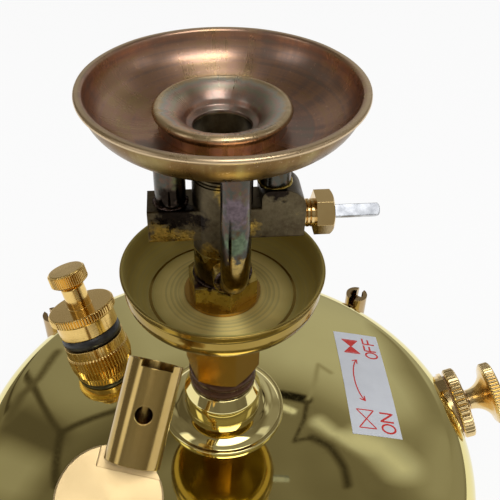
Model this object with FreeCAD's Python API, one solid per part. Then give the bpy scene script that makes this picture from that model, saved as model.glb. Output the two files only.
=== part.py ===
"""Brass kerosene pressure stove: tank, pump, filler, burner, spirit cup and preheating torch.

Millimetres. The floor is z = 0, the stove's upright axis is Z, the front is -Y. The pump points to +X.
Each piece is one STEP file in parts/. Sizes that two pieces share are written once, here at the top.
"""

import FreeCAD, Part
import math
import os

V = FreeCAD.Vector
ORIGIN = V(0, 0, 0)
UP = V(0, 0, 1)

# ---- Fits -------------------------------------------------------------------
RUNNING = 0.06       # radial clearance of a shaft that turns or slides in its bore
FREE = 0.35          # gap between faces of different bodies that must not touch

# ---- Tank -------------------------------------------------------------------
TANK_R = 108.5       # widest radius
TANK_WALL = 0.9
TOP_Z = 87.0         # flat land on top of the crown
TOP_FLAT_R = 22.0
TOP_SLOPE = 5.0      # degrees, where the crown leaves the flat land
SHOULDER_R = 18.0    # radius of the arc that turns the crown into the wall
SHOULDER_Z = 56.0
SEAM_Z = 30.0        # lower edge of the upper shell
SEAM_LAP = 9.0       # the lower shell's rim stands this far inside the upper one
BASE_Z = 4.0
BASE_CORNER_R = 20.0
BASE_RISE = 4.5      # the pan domes upward in the middle
FOOT_RING_R = 79.5
FOOT_RING_WIDTH = 3.5

# ---- Riser: boss, gasket and neck -------------------------------------------
FUEL_BORE_R = 3.1
SPIGOT_R = 7.0       # threaded spigots and sockets of the riser and burner
BOSS_HOLE_R = 12.0
BOSS_FLARE_R = 25.3
BOSS_BAND_R = 15.3
BOSS_TOP_R = 12.8
BOSS_BAND_Z = (92.0, 100.2)
BOSS_TOP_Z = 104.8
BOSS_SOCKET_Z = 93.0
PICKUP_R = 4.0
PICKUP_SEAT_Z = (80.0, 86.0)
PICKUP_LOW_Z = 13.0
STRAINER_R = 6.5
GASKET_TOP_Z = 113.5
GASKET_LOBE_R = 13.2
NECK_FLATS = 25.0
NECK_FACE_AZ = -99.9
NECK_TOP_Z = 150.0
NECK_SOCKET_Z = 138.0

# ---- Spirit cup -------------------------------------------------------------
CUP_SHEET = 1.5      # thickness of the floor
CUP_RIM_R = 35.7
CUP_RIM_Z = 164.4
WASHER_R = 13.6
WASHER_THICK = 1.2

# ---- Burner -----------------------------------------------------------------
HEX_FLATS = 22.0
HEX_FACE_AZ = -47.5
HEX_TOP_Z = 161.0
PILLAR_R = 9.8
PILLAR_SPLIT_Z = 174.0
PILLAR_TOP_Z = 201.0
CARRIER_R = 9.4
CARRIER_TOP_Z = 205.5
CARRIER_SPIGOT_R = 6.6
CARRIER_SPIGOT_Z = 196.0
TUBE_CIRCLE_R = 16.7
RISE_TUBE_R = 4.6
FALL_TUBE_R = 5.0
TUBE_WALL = 1.2
RISE_AZ = -76.5      # the front rising tube; the rear one is opposite
RISE_ENTRY_Z = 167.4
RISE_BEND_R = 6.0
RISE_ENTRY_R = 9.5
RISE_BOSS_R = 6.0
RISE_BOSS_OUT_R = 12.5
BAR_AZ = 4.0         # turn of the cross bar and of everything on it
BAR_LEFT = -24.3
BAR_RIGHT = 26.3
BAR_HALF = 6.5
BAR_Z = (179.7, 191.7)
GLAND_BOSS_X = 12.0
GLAND_BOSS_Z = 198.0
SEAT_DEPTH = 1.5     # how far a falling tube stands in its seat
BAR_PLUG_R = 2.4
BAR_PLUG_LENGTH = 3.5

# ---- Bowl and flame ring ----------------------------------------------------
VAPOUR_RING_R = 23.0
VAPOUR_RING_Z = (213.5, 217.3)
THROAT_R = 8.9
THROAT_WALL = 1.7
THROAT_LOW_Z = 209.0
BOWL_SHEET = 1.2
BOWL_RISE = 14.7     # from the bowl's floor to its rim
RIM_R = 42.5
FLAME_RISE = 7.6     # from the bowl's floor to the flame ring's top
FLAME_NECK_R = 19.0
FLAME_LIP_R = 20.8

# ---- Nozzle, needle and regulator spindle -----------------------------------
NOZZLE_SPIGOT_R = 3.0
NOZZLE_TIP_Z = 212.0
NOZZLE_TIP_R = 1.9
ORIFICE_R = 0.35
ORIFICE_Z = 210.5
GLAND_Z = 184.7      # height of the spindle's axis
CAVITY_R = 5.2
CAVITY_Z = 176.0
GEAR_TEETH = 8
GEAR_PITCH_R = 2.0
GEAR_ADDENDUM = 0.45
RACK_ADDENDUM = 0.22
GEAR_BOTTOM_GAP = 0.15
GEAR_BACKLASH = 0.12
PRESSURE_ANGLE = math.radians(20)
GEAR_HALF_LENGTH = 2.5
RACK_HALF_WIDTH = 1.5
RACK_BACK = 4.6      # distance of the rack's back from the axis
RACK_LOW = 7.9       # the rack reaches this far below the spindle's axis
RACK_FIRST, RACK_LAST = -5, 0
SPINDLE_R = 2.75
SPINDLE_SQUARE = 4.0
SPINDLE_END_X = 52.0
SPINDLE_SQUARE_X = 36.8
PACKING_X = (16.0, 20.0)
SHANK_R = 4.2
THREAD_R = 4.7
GLAND_NUT_FLATS = 13.0
GLAND_NUT_X = (30.2, 36.2)

# ---- Filler -----------------------------------------------------------------
FILLER_AZ = 148.3
FILLER_RADIUS = 66.9
FILLER_LEAN = 22.5   # degrees, tilt of the filler's axis away from upright
FILLER_LEAN_AZ = 136.9
FILLER_HOLE_R = 11.0
FILLER_BORE_R = 8.5
NECK_BAND_R = 13.8
NECK_KNURL_R = 14.5
NECK_KNURL_H = 4.2
NECK_LOW_H = -5.0    # the spigot's lower end, inside the tank
FILLER_NECK_H = 8.9
FILLER_GASKET_H = 14.5
CAP_BAND_R = 13.5
CAP_BAND_H = 21.5
CAP_KNURL_R = 15.2
CAP_TOP_H = 25.9
CAP_STEM_R = 5.3
CAP_STEM_H = 36.4
SCREW_R = 2.9
SCREW_KNOB_R = 8.5
SCREW_KNOB_H = (37.6, 44.3)

# ---- Pump -------------------------------------------------------------------
PUMP_PLACE_AZ = 12.46    # the centre of the cap's inner face: azimuth,
PUMP_STANDOFF = 3.23     # distance outside the widest radius,
PUMP_Z = 56.8            # and height
PUMP_AZ = 5.0
PUMP_RISE = 20.0
BARREL_R = 11.0
BARREL_WALL = 0.8
BARREL_LENGTH = 92.0
BARREL_END = 1.5
VALVE_PORT_R = 2.5
COLLAR_R = 14.5
PUMP_GASKET_THICK = 1.2
PUMP_CAP_R = 16.2
PUMP_CAP_THICK = 5.2
PUMP_PLUG_DEPTH = 7.0
ROD_R = 3.2
LEATHER_THICK = 1.8
LEATHER_SKIRT = 7.0
KNOB_START = 7.1
KNOB_R = 14.2
KNOB_BAND = (16.8, 21.2)
VALVE_LENGTH = 10.0
VALVE_R = 6.0

# ---- Preheating torch -------------------------------------------------------
DRUM_AT = V(-33.1, -73.0, 135.3)     # centre of the drum's face
DRUM_NORMAL = V(0.15, -0.51, 0.85)
DRUM_R = 16.0
DRUM_THICK = 12.0
TORCH_AT = V(-26.5, -65.9, 143.7)    # centre of the flame tube's lower end
TORCH_AXIS = V(0.23, 0.72, 0.67)
TORCH_R = 8.3
TORCH_WALL = 0.9
TORCH_LENGTH = 30.0
AIR_HOLE_R = 2.6
AIR_HOLE_AT = 14.9
NOTCH_HALF = 10.0
NOTCH_FROM = 8.6
NOTCH_DEPTH = 2.6
STEM_R = 4.8
STEM_LENGTH = 70.0
FOOT_R = 8.0
TORCH_FEED_R = 2.0
VALVE_DEPTH = 6.0
TORCH_SPINDLE_R = 2.4
TORCH_SHANK_R = 4.0
TORCH_GLAND_FLATS = 11.0
TORCH_GLAND_END = 21.0
TORCH_KNOB_R = 9.0
TORCH_KNOB = (24.0, 30.0)

# ---- Pot-stand sockets ------------------------------------------------------
SOCKET_R = 5.5
SOCKET_BORE_R = 3.3
SOCKET_BACK = 1.0    # wall between the bore and the tank
SOCKET_LOW_Z = 50.0
SOCKET_FLOOR_Z = 54.8
SOCKET_TOP_Z = 69.3
SOCKET_SLOT = 3.0
SOCKET_SLOT_DEPTH = 6.0
SOCKET_TURN = 5.6    # degrees, turn of the four sockets from the names' azimuths
SOCKET_NAMES = (45, 135, 225, 315)

# ---- Label ------------------------------------------------------------------
LABEL_X = (53.4, 74.4)
LABEL_Y = (-11.5, 50.0)
LABEL_THICK = 0.2


# ---- Helpers ----------------------------------------------------------------
def polar(radius, azimuth, z=0.0):
    """Point at a radius and an azimuth in degrees."""
    turn = math.radians(azimuth)
    return V(radius * math.cos(turn), radius * math.sin(turn), z)


def outline_face(points):
    """Face in the XZ plane. A pair is a corner; four numbers are an arc's middle and end."""
    edges = []
    first = V(points[0][0], 0, points[0][1])
    last = first
    for point in points[1:]:
        end = V(point[-2], 0, point[-1])
        if len(point) == 4:
            middle = V(point[0], 0, point[1])
            edges.append(Part.Arc(last, middle, end).toShape())
        else:
            edges.append(Part.makeLine(last, end))
        last = end
    if last.distanceToPoint(first) > 1e-6:
        edges.append(Part.makeLine(last, first))
    return Part.Face(Part.Wire(edges))


def turned(points):
    """Solid turned about Z from an outline of (radius, height)."""
    return outline_face(points).revolve(ORIGIN, UP, 360)


def cylinder(radius, low, high):
    return Part.makeCylinder(radius, high - low, V(0, 0, low))


def ring(outer, inner, low, high):
    return turned([(inner, low), (outer, low), (outer, high), (inner, high)])


def box(x, y, z):
    return Part.makeBox(x[1] - x[0], y[1] - y[0], z[1] - z[0], V(x[0], y[0], z[0]))


def rod(start, end, radius):
    """Cylinder from one point to another."""
    along = end.sub(start)
    return Part.makeCylinder(radius, along.Length, start, along)


def prism(corners, low, high):
    wire = Part.makePolygon([V(x, y, low) for x, y in corners + corners[:1]])
    return Part.Face(wire).extrude(V(0, 0, high - low))


def hexagon(flats, low, high, face_azimuth=0.0, cut_low=False, cut_high=False):
    """Hexagonal prism; a cut end is turned off at 30 degrees as on a nut."""
    corner = flats / math.sqrt(3)
    corners = []
    for step in range(6):
        at = polar(corner, face_azimuth + 30 + 60 * step)
        corners.append((at.x, at.y))
    solid = prism(corners, low, high)
    inner = flats / 2 * 0.97
    outer = corner + 0.2
    drop = (outer - inner) * math.tan(math.radians(30))
    profile = [(0, low)]
    profile += [(inner, low), (outer, low + drop)] if cut_low else [(outer, low)]
    profile += [(outer, high - drop), (inner, high)] if cut_high else [(outer, high)]
    profile += [(0, high)]
    return solid.common(turned(profile)) if cut_low or cut_high else solid


def knurled(radius, low, high, count, depth):
    """Disc with straight V teeth round its edge."""
    corners = []
    for step in range(2 * count):
        at = polar(radius - depth * (step % 2), 180.0 * step / count)
        corners.append((at.x, at.y))
    return prism(corners, low, high)


def thread_outline(radius, low, high, pitch, depth):
    """Points of a grooved cylinder, from its low end to its high end."""
    count = int((high - low) / pitch)
    points = [(radius, low)]
    for step in range(count):
        z = low + pitch * step
        points += [(radius, z + 0.55 * pitch), (radius - depth, z + 0.78 * pitch), (radius, z + pitch)]
    return points + [(radius, high)]


def placed(shape, origin, axis, side=None):
    """Copy of a shape whose local Z is laid along an axis, and local X near a side."""
    if side is None:
        turn = FreeCAD.Rotation(UP, axis)
    else:
        turn = FreeCAD.Rotation(side, axis.cross(side), axis, "ZXY")
    copy = shape.copy()
    copy.Placement = FreeCAD.Placement(origin, turn).multiply(shape.Placement)
    return copy


def turned_by(shape, azimuth):
    copy = shape.copy()
    copy.rotate(ORIGIN, UP, azimuth)
    return copy


def save(name, shape):
    solid = shape.removeSplitter()
    solid.exportStep("parts/" + name + ".step")


os.makedirs("parts", exist_ok=True)

# ---- Tank -------------------------------------------------------------------
SHOULDER_AT = (TANK_R - SHOULDER_R, SHOULDER_Z)
SLOPE_SIN = math.sin(math.radians(TOP_SLOPE))
SLOPE_COS = math.cos(math.radians(TOP_SLOPE))
GAP_R = TOP_FLAT_R - SHOULDER_AT[0]
GAP_Z = TOP_Z - SHOULDER_Z
CROWN_R = (GAP_R ** 2 + GAP_Z ** 2 - SHOULDER_R ** 2) / (
    2 * (GAP_R * SLOPE_SIN + GAP_Z * SLOPE_COS - SHOULDER_R)
)
CROWN_AT = (TOP_FLAT_R - CROWN_R * SLOPE_SIN, TOP_Z - CROWN_R * SLOPE_COS)
BLEND = math.atan2(SHOULDER_AT[1] - CROWN_AT[1], SHOULDER_AT[0] - CROWN_AT[0])


def on_arc(centre, radius, angle):
    return (centre[0] + radius * math.cos(angle), centre[1] + radius * math.sin(angle))


def crown_outline(grow):
    """Crown and shoulder, from the flat land out to the wall, moved outward by grow."""
    start = math.radians(90 - TOP_SLOPE)
    crown = CROWN_R + grow
    shoulder = SHOULDER_R + grow
    crown_arc = on_arc(CROWN_AT, crown, (start + BLEND) / 2) + on_arc(CROWN_AT, crown, BLEND)
    shoulder_arc = on_arc(SHOULDER_AT, shoulder, BLEND / 2) + on_arc(SHOULDER_AT, shoulder, 0)
    return [on_arc(CROWN_AT, crown, start), crown_arc, shoulder_arc]


def reversed_outline(points):
    """The same corners and arcs, walked from the other end."""
    back = [points[-1][-2:]]
    for here, before in zip(points[:0:-1], points[-2::-1]):
        back.append(here[:2] + before[-2:] if len(here) == 4 else before[-2:])
    return back


def tank_filled(grow=0.0):
    """The upper shell's outside as a filled solid: what stands on the tank is cut with it."""
    wall_r = TANK_R + grow
    return turned([(0, TOP_Z + grow)] + crown_outline(grow) + [(wall_r, SEAM_Z), (0, SEAM_Z)])


def crown_height(radius):
    return CROWN_AT[1] + math.sqrt(CROWN_R ** 2 - (radius - CROWN_AT[0]) ** 2)


TANK_SOLID = tank_filled()

PUMP_AXIS = V(
    math.cos(math.radians(PUMP_RISE)) * math.cos(math.radians(PUMP_AZ)),
    math.cos(math.radians(PUMP_RISE)) * math.sin(math.radians(PUMP_AZ)),
    math.sin(math.radians(PUMP_RISE)),
)
PUMP_AT = polar(TANK_R + PUMP_STANDOFF, PUMP_PLACE_AZ, PUMP_Z)
FILLER_AT = polar(FILLER_RADIUS, FILLER_AZ, crown_height(FILLER_RADIUS))
FILLER_TILT = math.radians(FILLER_LEAN)
FILLER_AXIS = polar(math.sin(FILLER_TILT), FILLER_LEAN_AZ, math.cos(FILLER_TILT))
STEM_AXIS = V(DRUM_NORMAL).normalize()
FLAME_AXIS = V(TORCH_AXIS).normalize()


def on_pump(shape):
    return placed(shape, PUMP_AT, PUMP_AXIS)


def on_filler(shape):
    return placed(shape, FILLER_AT, FILLER_AXIS)


STEM_START = DRUM_AT - STEM_AXIS * DRUM_THICK
STEM_END = DRUM_AT - STEM_AXIS * STEM_LENGTH

upper_shell = turned(
    [(BOSS_HOLE_R, TOP_Z)]
    + crown_outline(0)
    + [(TANK_R, SEAM_Z), (TANK_R - TANK_WALL, SEAM_Z)]
    + reversed_outline(crown_outline(-TANK_WALL))
    + [(BOSS_HOLE_R, TOP_Z - TANK_WALL)]
)
for hole in (
    on_filler(cylinder(FILLER_HOLE_R, -10, 10)),
    on_pump(cylinder(BARREL_R, -BARREL_LENGTH, 10)),
    rod(STEM_START, STEM_END, TORCH_FEED_R),
):
    upper_shell = upper_shell.cut(hole)
save("tank_upper_shell", upper_shell)

CORNER_X = TANK_R - BASE_CORNER_R
CORNER_Z = BASE_Z + BASE_CORNER_R
DIAGONAL = math.sqrt(0.5)
lap_r = TANK_R - TANK_WALL
pan_in = BASE_CORNER_R - TANK_WALL
PAN_FLAT_R = 70.0
PAN_MIDDLE_R = 35.0
PAN_DOME_R = (PAN_FLAT_R ** 2 + BASE_RISE ** 2) / (2 * BASE_RISE)
pan_top_z = BASE_Z + BASE_RISE
pan_middle_z = pan_top_z - PAN_DOME_R + math.sqrt(PAN_DOME_R ** 2 - PAN_MIDDLE_R ** 2)
lower_shell = turned([
    (0, pan_top_z),
    (PAN_MIDDLE_R, pan_middle_z, PAN_FLAT_R, BASE_Z),
    (CORNER_X, BASE_Z),
    (CORNER_X + BASE_CORNER_R * DIAGONAL, CORNER_Z - BASE_CORNER_R * DIAGONAL, TANK_R, CORNER_Z),
    (TANK_R, SEAM_Z - TANK_WALL),
    (lap_r, SEAM_Z),
    (lap_r, SEAM_Z + SEAM_LAP),
    (lap_r - TANK_WALL, SEAM_Z + SEAM_LAP),
    (lap_r - TANK_WALL, SEAM_Z - TANK_WALL),
    (lap_r, SEAM_Z - 2 * TANK_WALL),
    (lap_r, CORNER_Z),
    (CORNER_X + pan_in * DIAGONAL, CORNER_Z - pan_in * DIAGONAL, CORNER_X, BASE_Z + TANK_WALL),
    (PAN_FLAT_R, BASE_Z + TANK_WALL),
    (PAN_MIDDLE_R, pan_middle_z + TANK_WALL, 0, pan_top_z + TANK_WALL),
])
save("tank_lower_shell", lower_shell)
save("base_ring", ring(FOOT_RING_R, FOOT_RING_R - FOOT_RING_WIDTH, 0, BASE_Z))

# Sockets for the pot stand's legs, soldered to the wall: a blind bore and a slot across its mouth.
SOCKET_CIRCLE_R = TANK_R + SOCKET_BACK + SOCKET_BORE_R
for azimuth in SOCKET_NAMES:
    post = cylinder(SOCKET_R, SOCKET_LOW_Z, SOCKET_TOP_Z)
    post = post.cut(cylinder(SOCKET_BORE_R, SOCKET_FLOOR_Z, SOCKET_TOP_Z))
    half_slot = SOCKET_SLOT / 2
    slot_z = (SOCKET_TOP_Z - SOCKET_SLOT_DEPTH, SOCKET_TOP_Z)
    slot = box((-SOCKET_R, SOCKET_R), (-half_slot, half_slot), slot_z)
    post = turned_by(post.cut(slot), azimuth + SOCKET_TURN)
    post.translate(polar(SOCKET_CIRCLE_R, azimuth + SOCKET_TURN))
    save("socket_%d" % azimuth, post.cut(TANK_SOLID))

label_block = box(LABEL_X, LABEL_Y, (SHOULDER_Z, TOP_Z))
save("label", tank_filled(LABEL_THICK).cut(TANK_SOLID).common(label_block))

# ---- Riser ------------------------------------------------------------------
riser_boss = turned([
    (PICKUP_R, PICKUP_SEAT_Z[0]),
    (BOSS_HOLE_R, PICKUP_SEAT_Z[0]),
    (BOSS_HOLE_R, TOP_Z - 3),
    (BOSS_FLARE_R, TOP_Z - 3),
    (BOSS_FLARE_R, TOP_Z + 0.8),
    (BOSS_FLARE_R - 0.2, TOP_Z + 1.4, BOSS_FLARE_R - 0.9, TOP_Z + 1.6),
    (BOSS_FLARE_R - 1.6, TOP_Z + 1.6),
    (BOSS_BAND_R + 5.2, BOSS_BAND_Z[0] - 1.1, BOSS_BAND_R + 0.4, BOSS_BAND_Z[0]),
    (BOSS_BAND_R, BOSS_BAND_Z[0]),
    (BOSS_BAND_R, BOSS_BAND_Z[1]),
    (BOSS_TOP_R, BOSS_TOP_Z),
    (SPIGOT_R, BOSS_TOP_Z),
    (SPIGOT_R, BOSS_SOCKET_Z),
    (FUEL_BORE_R, BOSS_SOCKET_Z),
    (FUEL_BORE_R, PICKUP_SEAT_Z[1]),
    (PICKUP_R, PICKUP_SEAT_Z[1]),
])
seat = TANK_SOLID.cut(cylinder(BOSS_HOLE_R, SEAM_Z, TOP_Z + 1))
save("riser_boss", riser_boss.cut(seat))
save("pickup_tube", ring(PICKUP_R, FUEL_BORE_R, PICKUP_LOW_Z, PICKUP_SEAT_Z[1]))
strainer = turned([
    (PICKUP_R, PICKUP_LOW_Z + 8),
    (PICKUP_R, PICKUP_LOW_Z + 10),
    (STRAINER_R, PICKUP_LOW_Z + 8),
    (STRAINER_R, PICKUP_LOW_Z - 2.5),
    (0, PICKUP_LOW_Z - 2.5),
    (0, PICKUP_LOW_Z - 1.7),
    (STRAINER_R - 0.8, PICKUP_LOW_Z - 1.7),
    (STRAINER_R - 0.8, PICKUP_LOW_Z + 7.5),
    (PICKUP_R, PICKUP_LOW_Z + 8),
])
save("pickup_strainer", strainer)

middle_z = (BOSS_TOP_Z + GASKET_TOP_Z) / 2
lobe_z = (GASKET_TOP_Z - BOSS_TOP_Z) / 4
save("riser_gasket", turned([
    (SPIGOT_R, BOSS_TOP_Z),
    (GASKET_LOBE_R - 1.1, BOSS_TOP_Z),
    (GASKET_LOBE_R, BOSS_TOP_Z + lobe_z, GASKET_LOBE_R - 1.1, middle_z),
    (GASKET_LOBE_R, GASKET_TOP_Z - lobe_z, GASKET_LOBE_R - 1.1, GASKET_TOP_Z),
    (SPIGOT_R, GASKET_TOP_Z),
]))

neck = hexagon(NECK_FLATS, GASKET_TOP_Z, NECK_TOP_Z, NECK_FACE_AZ, cut_low=True)
neck = neck.fuse(cylinder(SPIGOT_R, BOSS_SOCKET_Z, GASKET_TOP_Z + 1))
neck = neck.cut(cylinder(FUEL_BORE_R, BOSS_SOCKET_Z, NECK_TOP_Z))
neck = neck.cut(cylinder(SPIGOT_R, NECK_SOCKET_Z, NECK_TOP_Z))
save("riser_neck", neck)

# ---- Spirit cup -------------------------------------------------------------
CUP_FLOOR_Z = NECK_TOP_Z + CUP_SHEET
save("spirit_cup", turned([
    (SPIGOT_R, NECK_TOP_Z),
    (26.5, NECK_TOP_Z),
    (32.6, NECK_TOP_Z + 2.5, 34.8, NECK_TOP_Z + 8.0),
    (34.6, CUP_RIM_Z - 4.1),
    (34.1, CUP_RIM_Z - 3.65),
    (34.9, CUP_RIM_Z - 3.2),
    (35.2, CUP_RIM_Z - 0.9),
    (CUP_RIM_R, CUP_RIM_Z - 0.35, CUP_RIM_R - 0.5, CUP_RIM_Z),
    (CUP_RIM_R - 1.1, CUP_RIM_Z),
    (34.1, CUP_RIM_Z - 1.2),
    (33.7, NECK_TOP_Z + 8.2),
    (31.6, CUP_FLOOR_Z + 2.0, 25.4, CUP_FLOOR_Z),
    (22.6, CUP_FLOOR_Z),
    (22.2, CUP_FLOOR_Z + 0.3, 21.8, CUP_FLOOR_Z),
    (19.6, CUP_FLOOR_Z),
    (19.2, CUP_FLOOR_Z + 0.3, 18.8, CUP_FLOOR_Z),
    (SPIGOT_R, CUP_FLOOR_Z),
]))
HEX_LOW_Z = CUP_FLOOR_Z + WASHER_THICK
save("cup_washer", ring(WASHER_R, SPIGOT_R, CUP_FLOOR_Z, HEX_LOW_Z))


# ---- Vapour tubes -----------------------------------------------------------
def rising_path():
    """Centre line of a rising tube at azimuth 0: along the boss, round the bend, up to the ring."""
    bend = V(TUBE_CIRCLE_R - RISE_BEND_R, 0, RISE_ENTRY_Z)
    corner = V(TUBE_CIRCLE_R, 0, RISE_ENTRY_Z + RISE_BEND_R)
    top = V(TUBE_CIRCLE_R, 0, VAPOUR_RING_Z[1])
    middle = V(
        bend.x + RISE_BEND_R * DIAGONAL, 0, RISE_ENTRY_Z + RISE_BEND_R * (1 - DIAGONAL)
    )
    lines = [
        Part.makeLine(V(RISE_ENTRY_R, 0, RISE_ENTRY_Z), bend),
        Part.Arc(bend, middle, corner).toShape(),
        Part.makeLine(corner, top),
    ]
    return Part.Wire(lines)


def swept(path, radius):
    start = path.Vertexes[0].Point
    circle = Part.Wire(Part.Circle(start, V(1, 0, 0), radius).toShape())
    return path.makePipeShell([circle], True, False)


rise_solid = swept(rising_path(), RISE_TUBE_R)
rise_bore = swept(rising_path(), RISE_TUBE_R - TUBE_WALL)
RISE_AZIMUTHS = {"front": RISE_AZ, "rear": RISE_AZ + 180}
rise_solids = []
for name, azimuth in RISE_AZIMUTHS.items():
    rise_solids.append(turned_by(rise_solid, azimuth))
    save("rising_tube_" + name, turned_by(rise_solid.cut(rise_bore), azimuth))

fall_feet = {"left": (BAR_AZ + 180, BAR_Z[1] - SEAT_DEPTH), "right": (BAR_AZ, GLAND_BOSS_Z - SEAT_DEPTH)}
fall_solids = []
for name, (azimuth, foot) in fall_feet.items():
    tube = cylinder(FALL_TUBE_R, foot, VAPOUR_RING_Z[1])
    tube.translate(polar(TUBE_CIRCLE_R, azimuth))
    bore = cylinder(FALL_TUBE_R - TUBE_WALL, foot, VAPOUR_RING_Z[1])
    bore.translate(polar(TUBE_CIRCLE_R, azimuth))
    fall_solids.append(tube)
    save("falling_tube_" + name, tube.cut(bore))

# ---- Burner base ------------------------------------------------------------
base = hexagon(HEX_FLATS, HEX_LOW_Z, HEX_TOP_Z, HEX_FACE_AZ, cut_high=True)
base = base.fuse(cylinder(SPIGOT_R, NECK_SOCKET_Z + 1, HEX_LOW_Z + 1))
base = base.fuse(cylinder(PILLAR_R, HEX_TOP_Z - 1, PILLAR_SPLIT_Z))
base_ducts = [cylinder(FUEL_BORE_R, NECK_SOCKET_Z, RISE_ENTRY_Z + 1.5)]
for radius, reach in ((RISE_BOSS_R, RISE_BOSS_OUT_R), (RISE_TUBE_R - TUBE_WALL, RISE_ENTRY_R)):
    across = rod(polar(-reach, RISE_AZ, RISE_ENTRY_Z), polar(reach, RISE_AZ, RISE_ENTRY_Z), radius)
    base_ducts.append(across)
base = base.fuse(base_ducts.pop(1))
for duct in base_ducts + rise_solids:
    base = base.cut(duct)
save("burner_base", base)

# ---- Burner block: pillar, cross bar and gland boss, built along X -----------
bar = box((BAR_LEFT, BAR_RIGHT), (-BAR_HALF, BAR_HALF), BAR_Z)
gland_boss = outline_face([
    (GLAND_BOSS_X, BAR_Z[0] + 1),
    (GLAND_BOSS_X, GLAND_BOSS_Z - 3.2),
    (GLAND_BOSS_X + 0.7, GLAND_BOSS_Z - 0.9, GLAND_BOSS_X + 3.0, GLAND_BOSS_Z),
    (TUBE_CIRCLE_R + 3.0, GLAND_BOSS_Z),
    (BAR_RIGHT - 1.7, GLAND_BOSS_Z - 2.6, BAR_RIGHT, GLAND_BOSS_Z - 8.0),
    (BAR_RIGHT, BAR_Z[0] + 1),
]).extrude(V(0, 2 * BAR_HALF, 0))
gland_boss.translate(V(0, -BAR_HALF, 0))
block = bar.fuse(gland_boss).removeSplitter()
long_edges = [e for e in block.Edges if abs(e.BoundBox.YLength) < 1e-6]
block = block.makeFillet(0.7, [e for e in long_edges if e.BoundBox.XLength > 20])
block = block.fuse(cylinder(PILLAR_R, PILLAR_SPLIT_Z, PILLAR_TOP_Z))
left_duct_end = V(-CAVITY_R + 1, 0, GLAND_Z)
right_foot = V(TUBE_CIRCLE_R, 0, GLAND_BOSS_Z - 6.7)
DUCT_R = 1.1
for hole in (
    cylinder(CAVITY_R, CAVITY_Z, CARRIER_SPIGOT_Z),
    cylinder(CARRIER_SPIGOT_R, CARRIER_SPIGOT_Z, PILLAR_TOP_Z),
    rod(V(0, 0, GLAND_Z), V(PACKING_X[0], 0, GLAND_Z), SPINDLE_R + FREE),
    rod(V(PACKING_X[0], 0, GLAND_Z), V(BAR_RIGHT, 0, GLAND_Z), SHANK_R),
    rod(V(-TUBE_CIRCLE_R, 0, GLAND_Z), V(-TUBE_CIRCLE_R, 0, BAR_Z[1]), FALL_TUBE_R - TUBE_WALL),
    rod(V(BAR_LEFT, 0, GLAND_Z), left_duct_end, BAR_PLUG_R),
    rod(right_foot, V(TUBE_CIRCLE_R, 0, GLAND_BOSS_Z), FALL_TUBE_R - TUBE_WALL),
    rod(right_foot, V(CAVITY_R - 1, 0, GLAND_Z + 4.7), DUCT_R),
):
    block = block.cut(hole)
block = turned_by(block, BAR_AZ)
for tube in fall_solids:
    block = block.cut(tube)
save("burner_block", block)

plug = rod(V(BAR_LEFT, 0, GLAND_Z), V(BAR_LEFT + BAR_PLUG_LENGTH, 0, GLAND_Z), BAR_PLUG_R)
plug_slot = box((BAR_LEFT, BAR_LEFT + 0.8), (-BAR_PLUG_R, BAR_PLUG_R), (GLAND_Z - 0.4, GLAND_Z + 0.4))
save("bar_plug", turned_by(plug.cut(plug_slot), BAR_AZ))

# ---- Vapour ring, flame ring and bowl ---------------------------------------
vapour_ring = turned([
    (THROAT_R, THROAT_LOW_Z),
    (THROAT_R + THROAT_WALL, THROAT_LOW_Z),
    (THROAT_R + THROAT_WALL, VAPOUR_RING_Z[0]),
    (VAPOUR_RING_R, VAPOUR_RING_Z[0]),
    (VAPOUR_RING_R, VAPOUR_RING_Z[1]),
    (THROAT_R, VAPOUR_RING_Z[1]),
])
for tube in rise_solids + fall_solids:
    vapour_ring = vapour_ring.cut(tube)
save("vapour_ring", vapour_ring)

FLOOR_Z = VAPOUR_RING_Z[1]
FLAME_TOP_Z = FLOOR_Z + FLAME_RISE
RIM_Z = FLOOR_Z + BOWL_RISE
save("flame_ring", turned([
    (THROAT_R, FLOOR_Z),
    (THROAT_R, FLOOR_Z + 1.3),
    (10.9, FLOOR_Z + 2.1),
    (11.5, FLOOR_Z + 3.7),
    (14.6, FLAME_TOP_Z - 1.3, 18.4, FLAME_TOP_Z),
    (FLAME_LIP_R - 0.2, FLAME_TOP_Z - 0.4, FLAME_LIP_R, FLAME_TOP_Z - 1.4),
    (FLAME_LIP_R - 1.0, FLAME_TOP_Z - 2.0),
    (FLAME_NECK_R, FLAME_TOP_Z - 3.2),
    (FLAME_NECK_R, FLOOR_Z),
    (FLAME_NECK_R - 1.3, FLOOR_Z),
    (FLAME_NECK_R - 1.3, FLOOR_Z + 4.3),
    (14.4, FLOOR_Z + 3.9),
    (12.6, FLOOR_Z + 1.8),
    (12.3, FLOOR_Z),
]))
save("burner_bowl", turned([
    (FLAME_NECK_R, FLOOR_Z),
    (FLAME_NECK_R, FLOOR_Z + BOWL_SHEET),
    (22.0, FLOOR_Z + BOWL_SHEET),
    (31.0, FLOOR_Z + 2.9, 36.8, FLOOR_Z + 6.7),
    (38.8, RIM_Z - 5.0, 39.8, RIM_Z - 0.8),
    (40.2, RIM_Z - 0.2, 40.9, RIM_Z),
    (RIM_R - 0.6, RIM_Z),
    (RIM_R, RIM_Z - 0.7, RIM_R - 0.2, RIM_Z - 1.4),
    (RIM_R - 0.9, RIM_Z - 1.8),
    (41.0, RIM_Z - 2.0),
    (39.9, RIM_Z - 5.7, 37.7, FLOOR_Z + 5.9),
    (31.6, FLOOR_Z + 1.7, 22.0, FLOOR_Z),
]))

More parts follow.
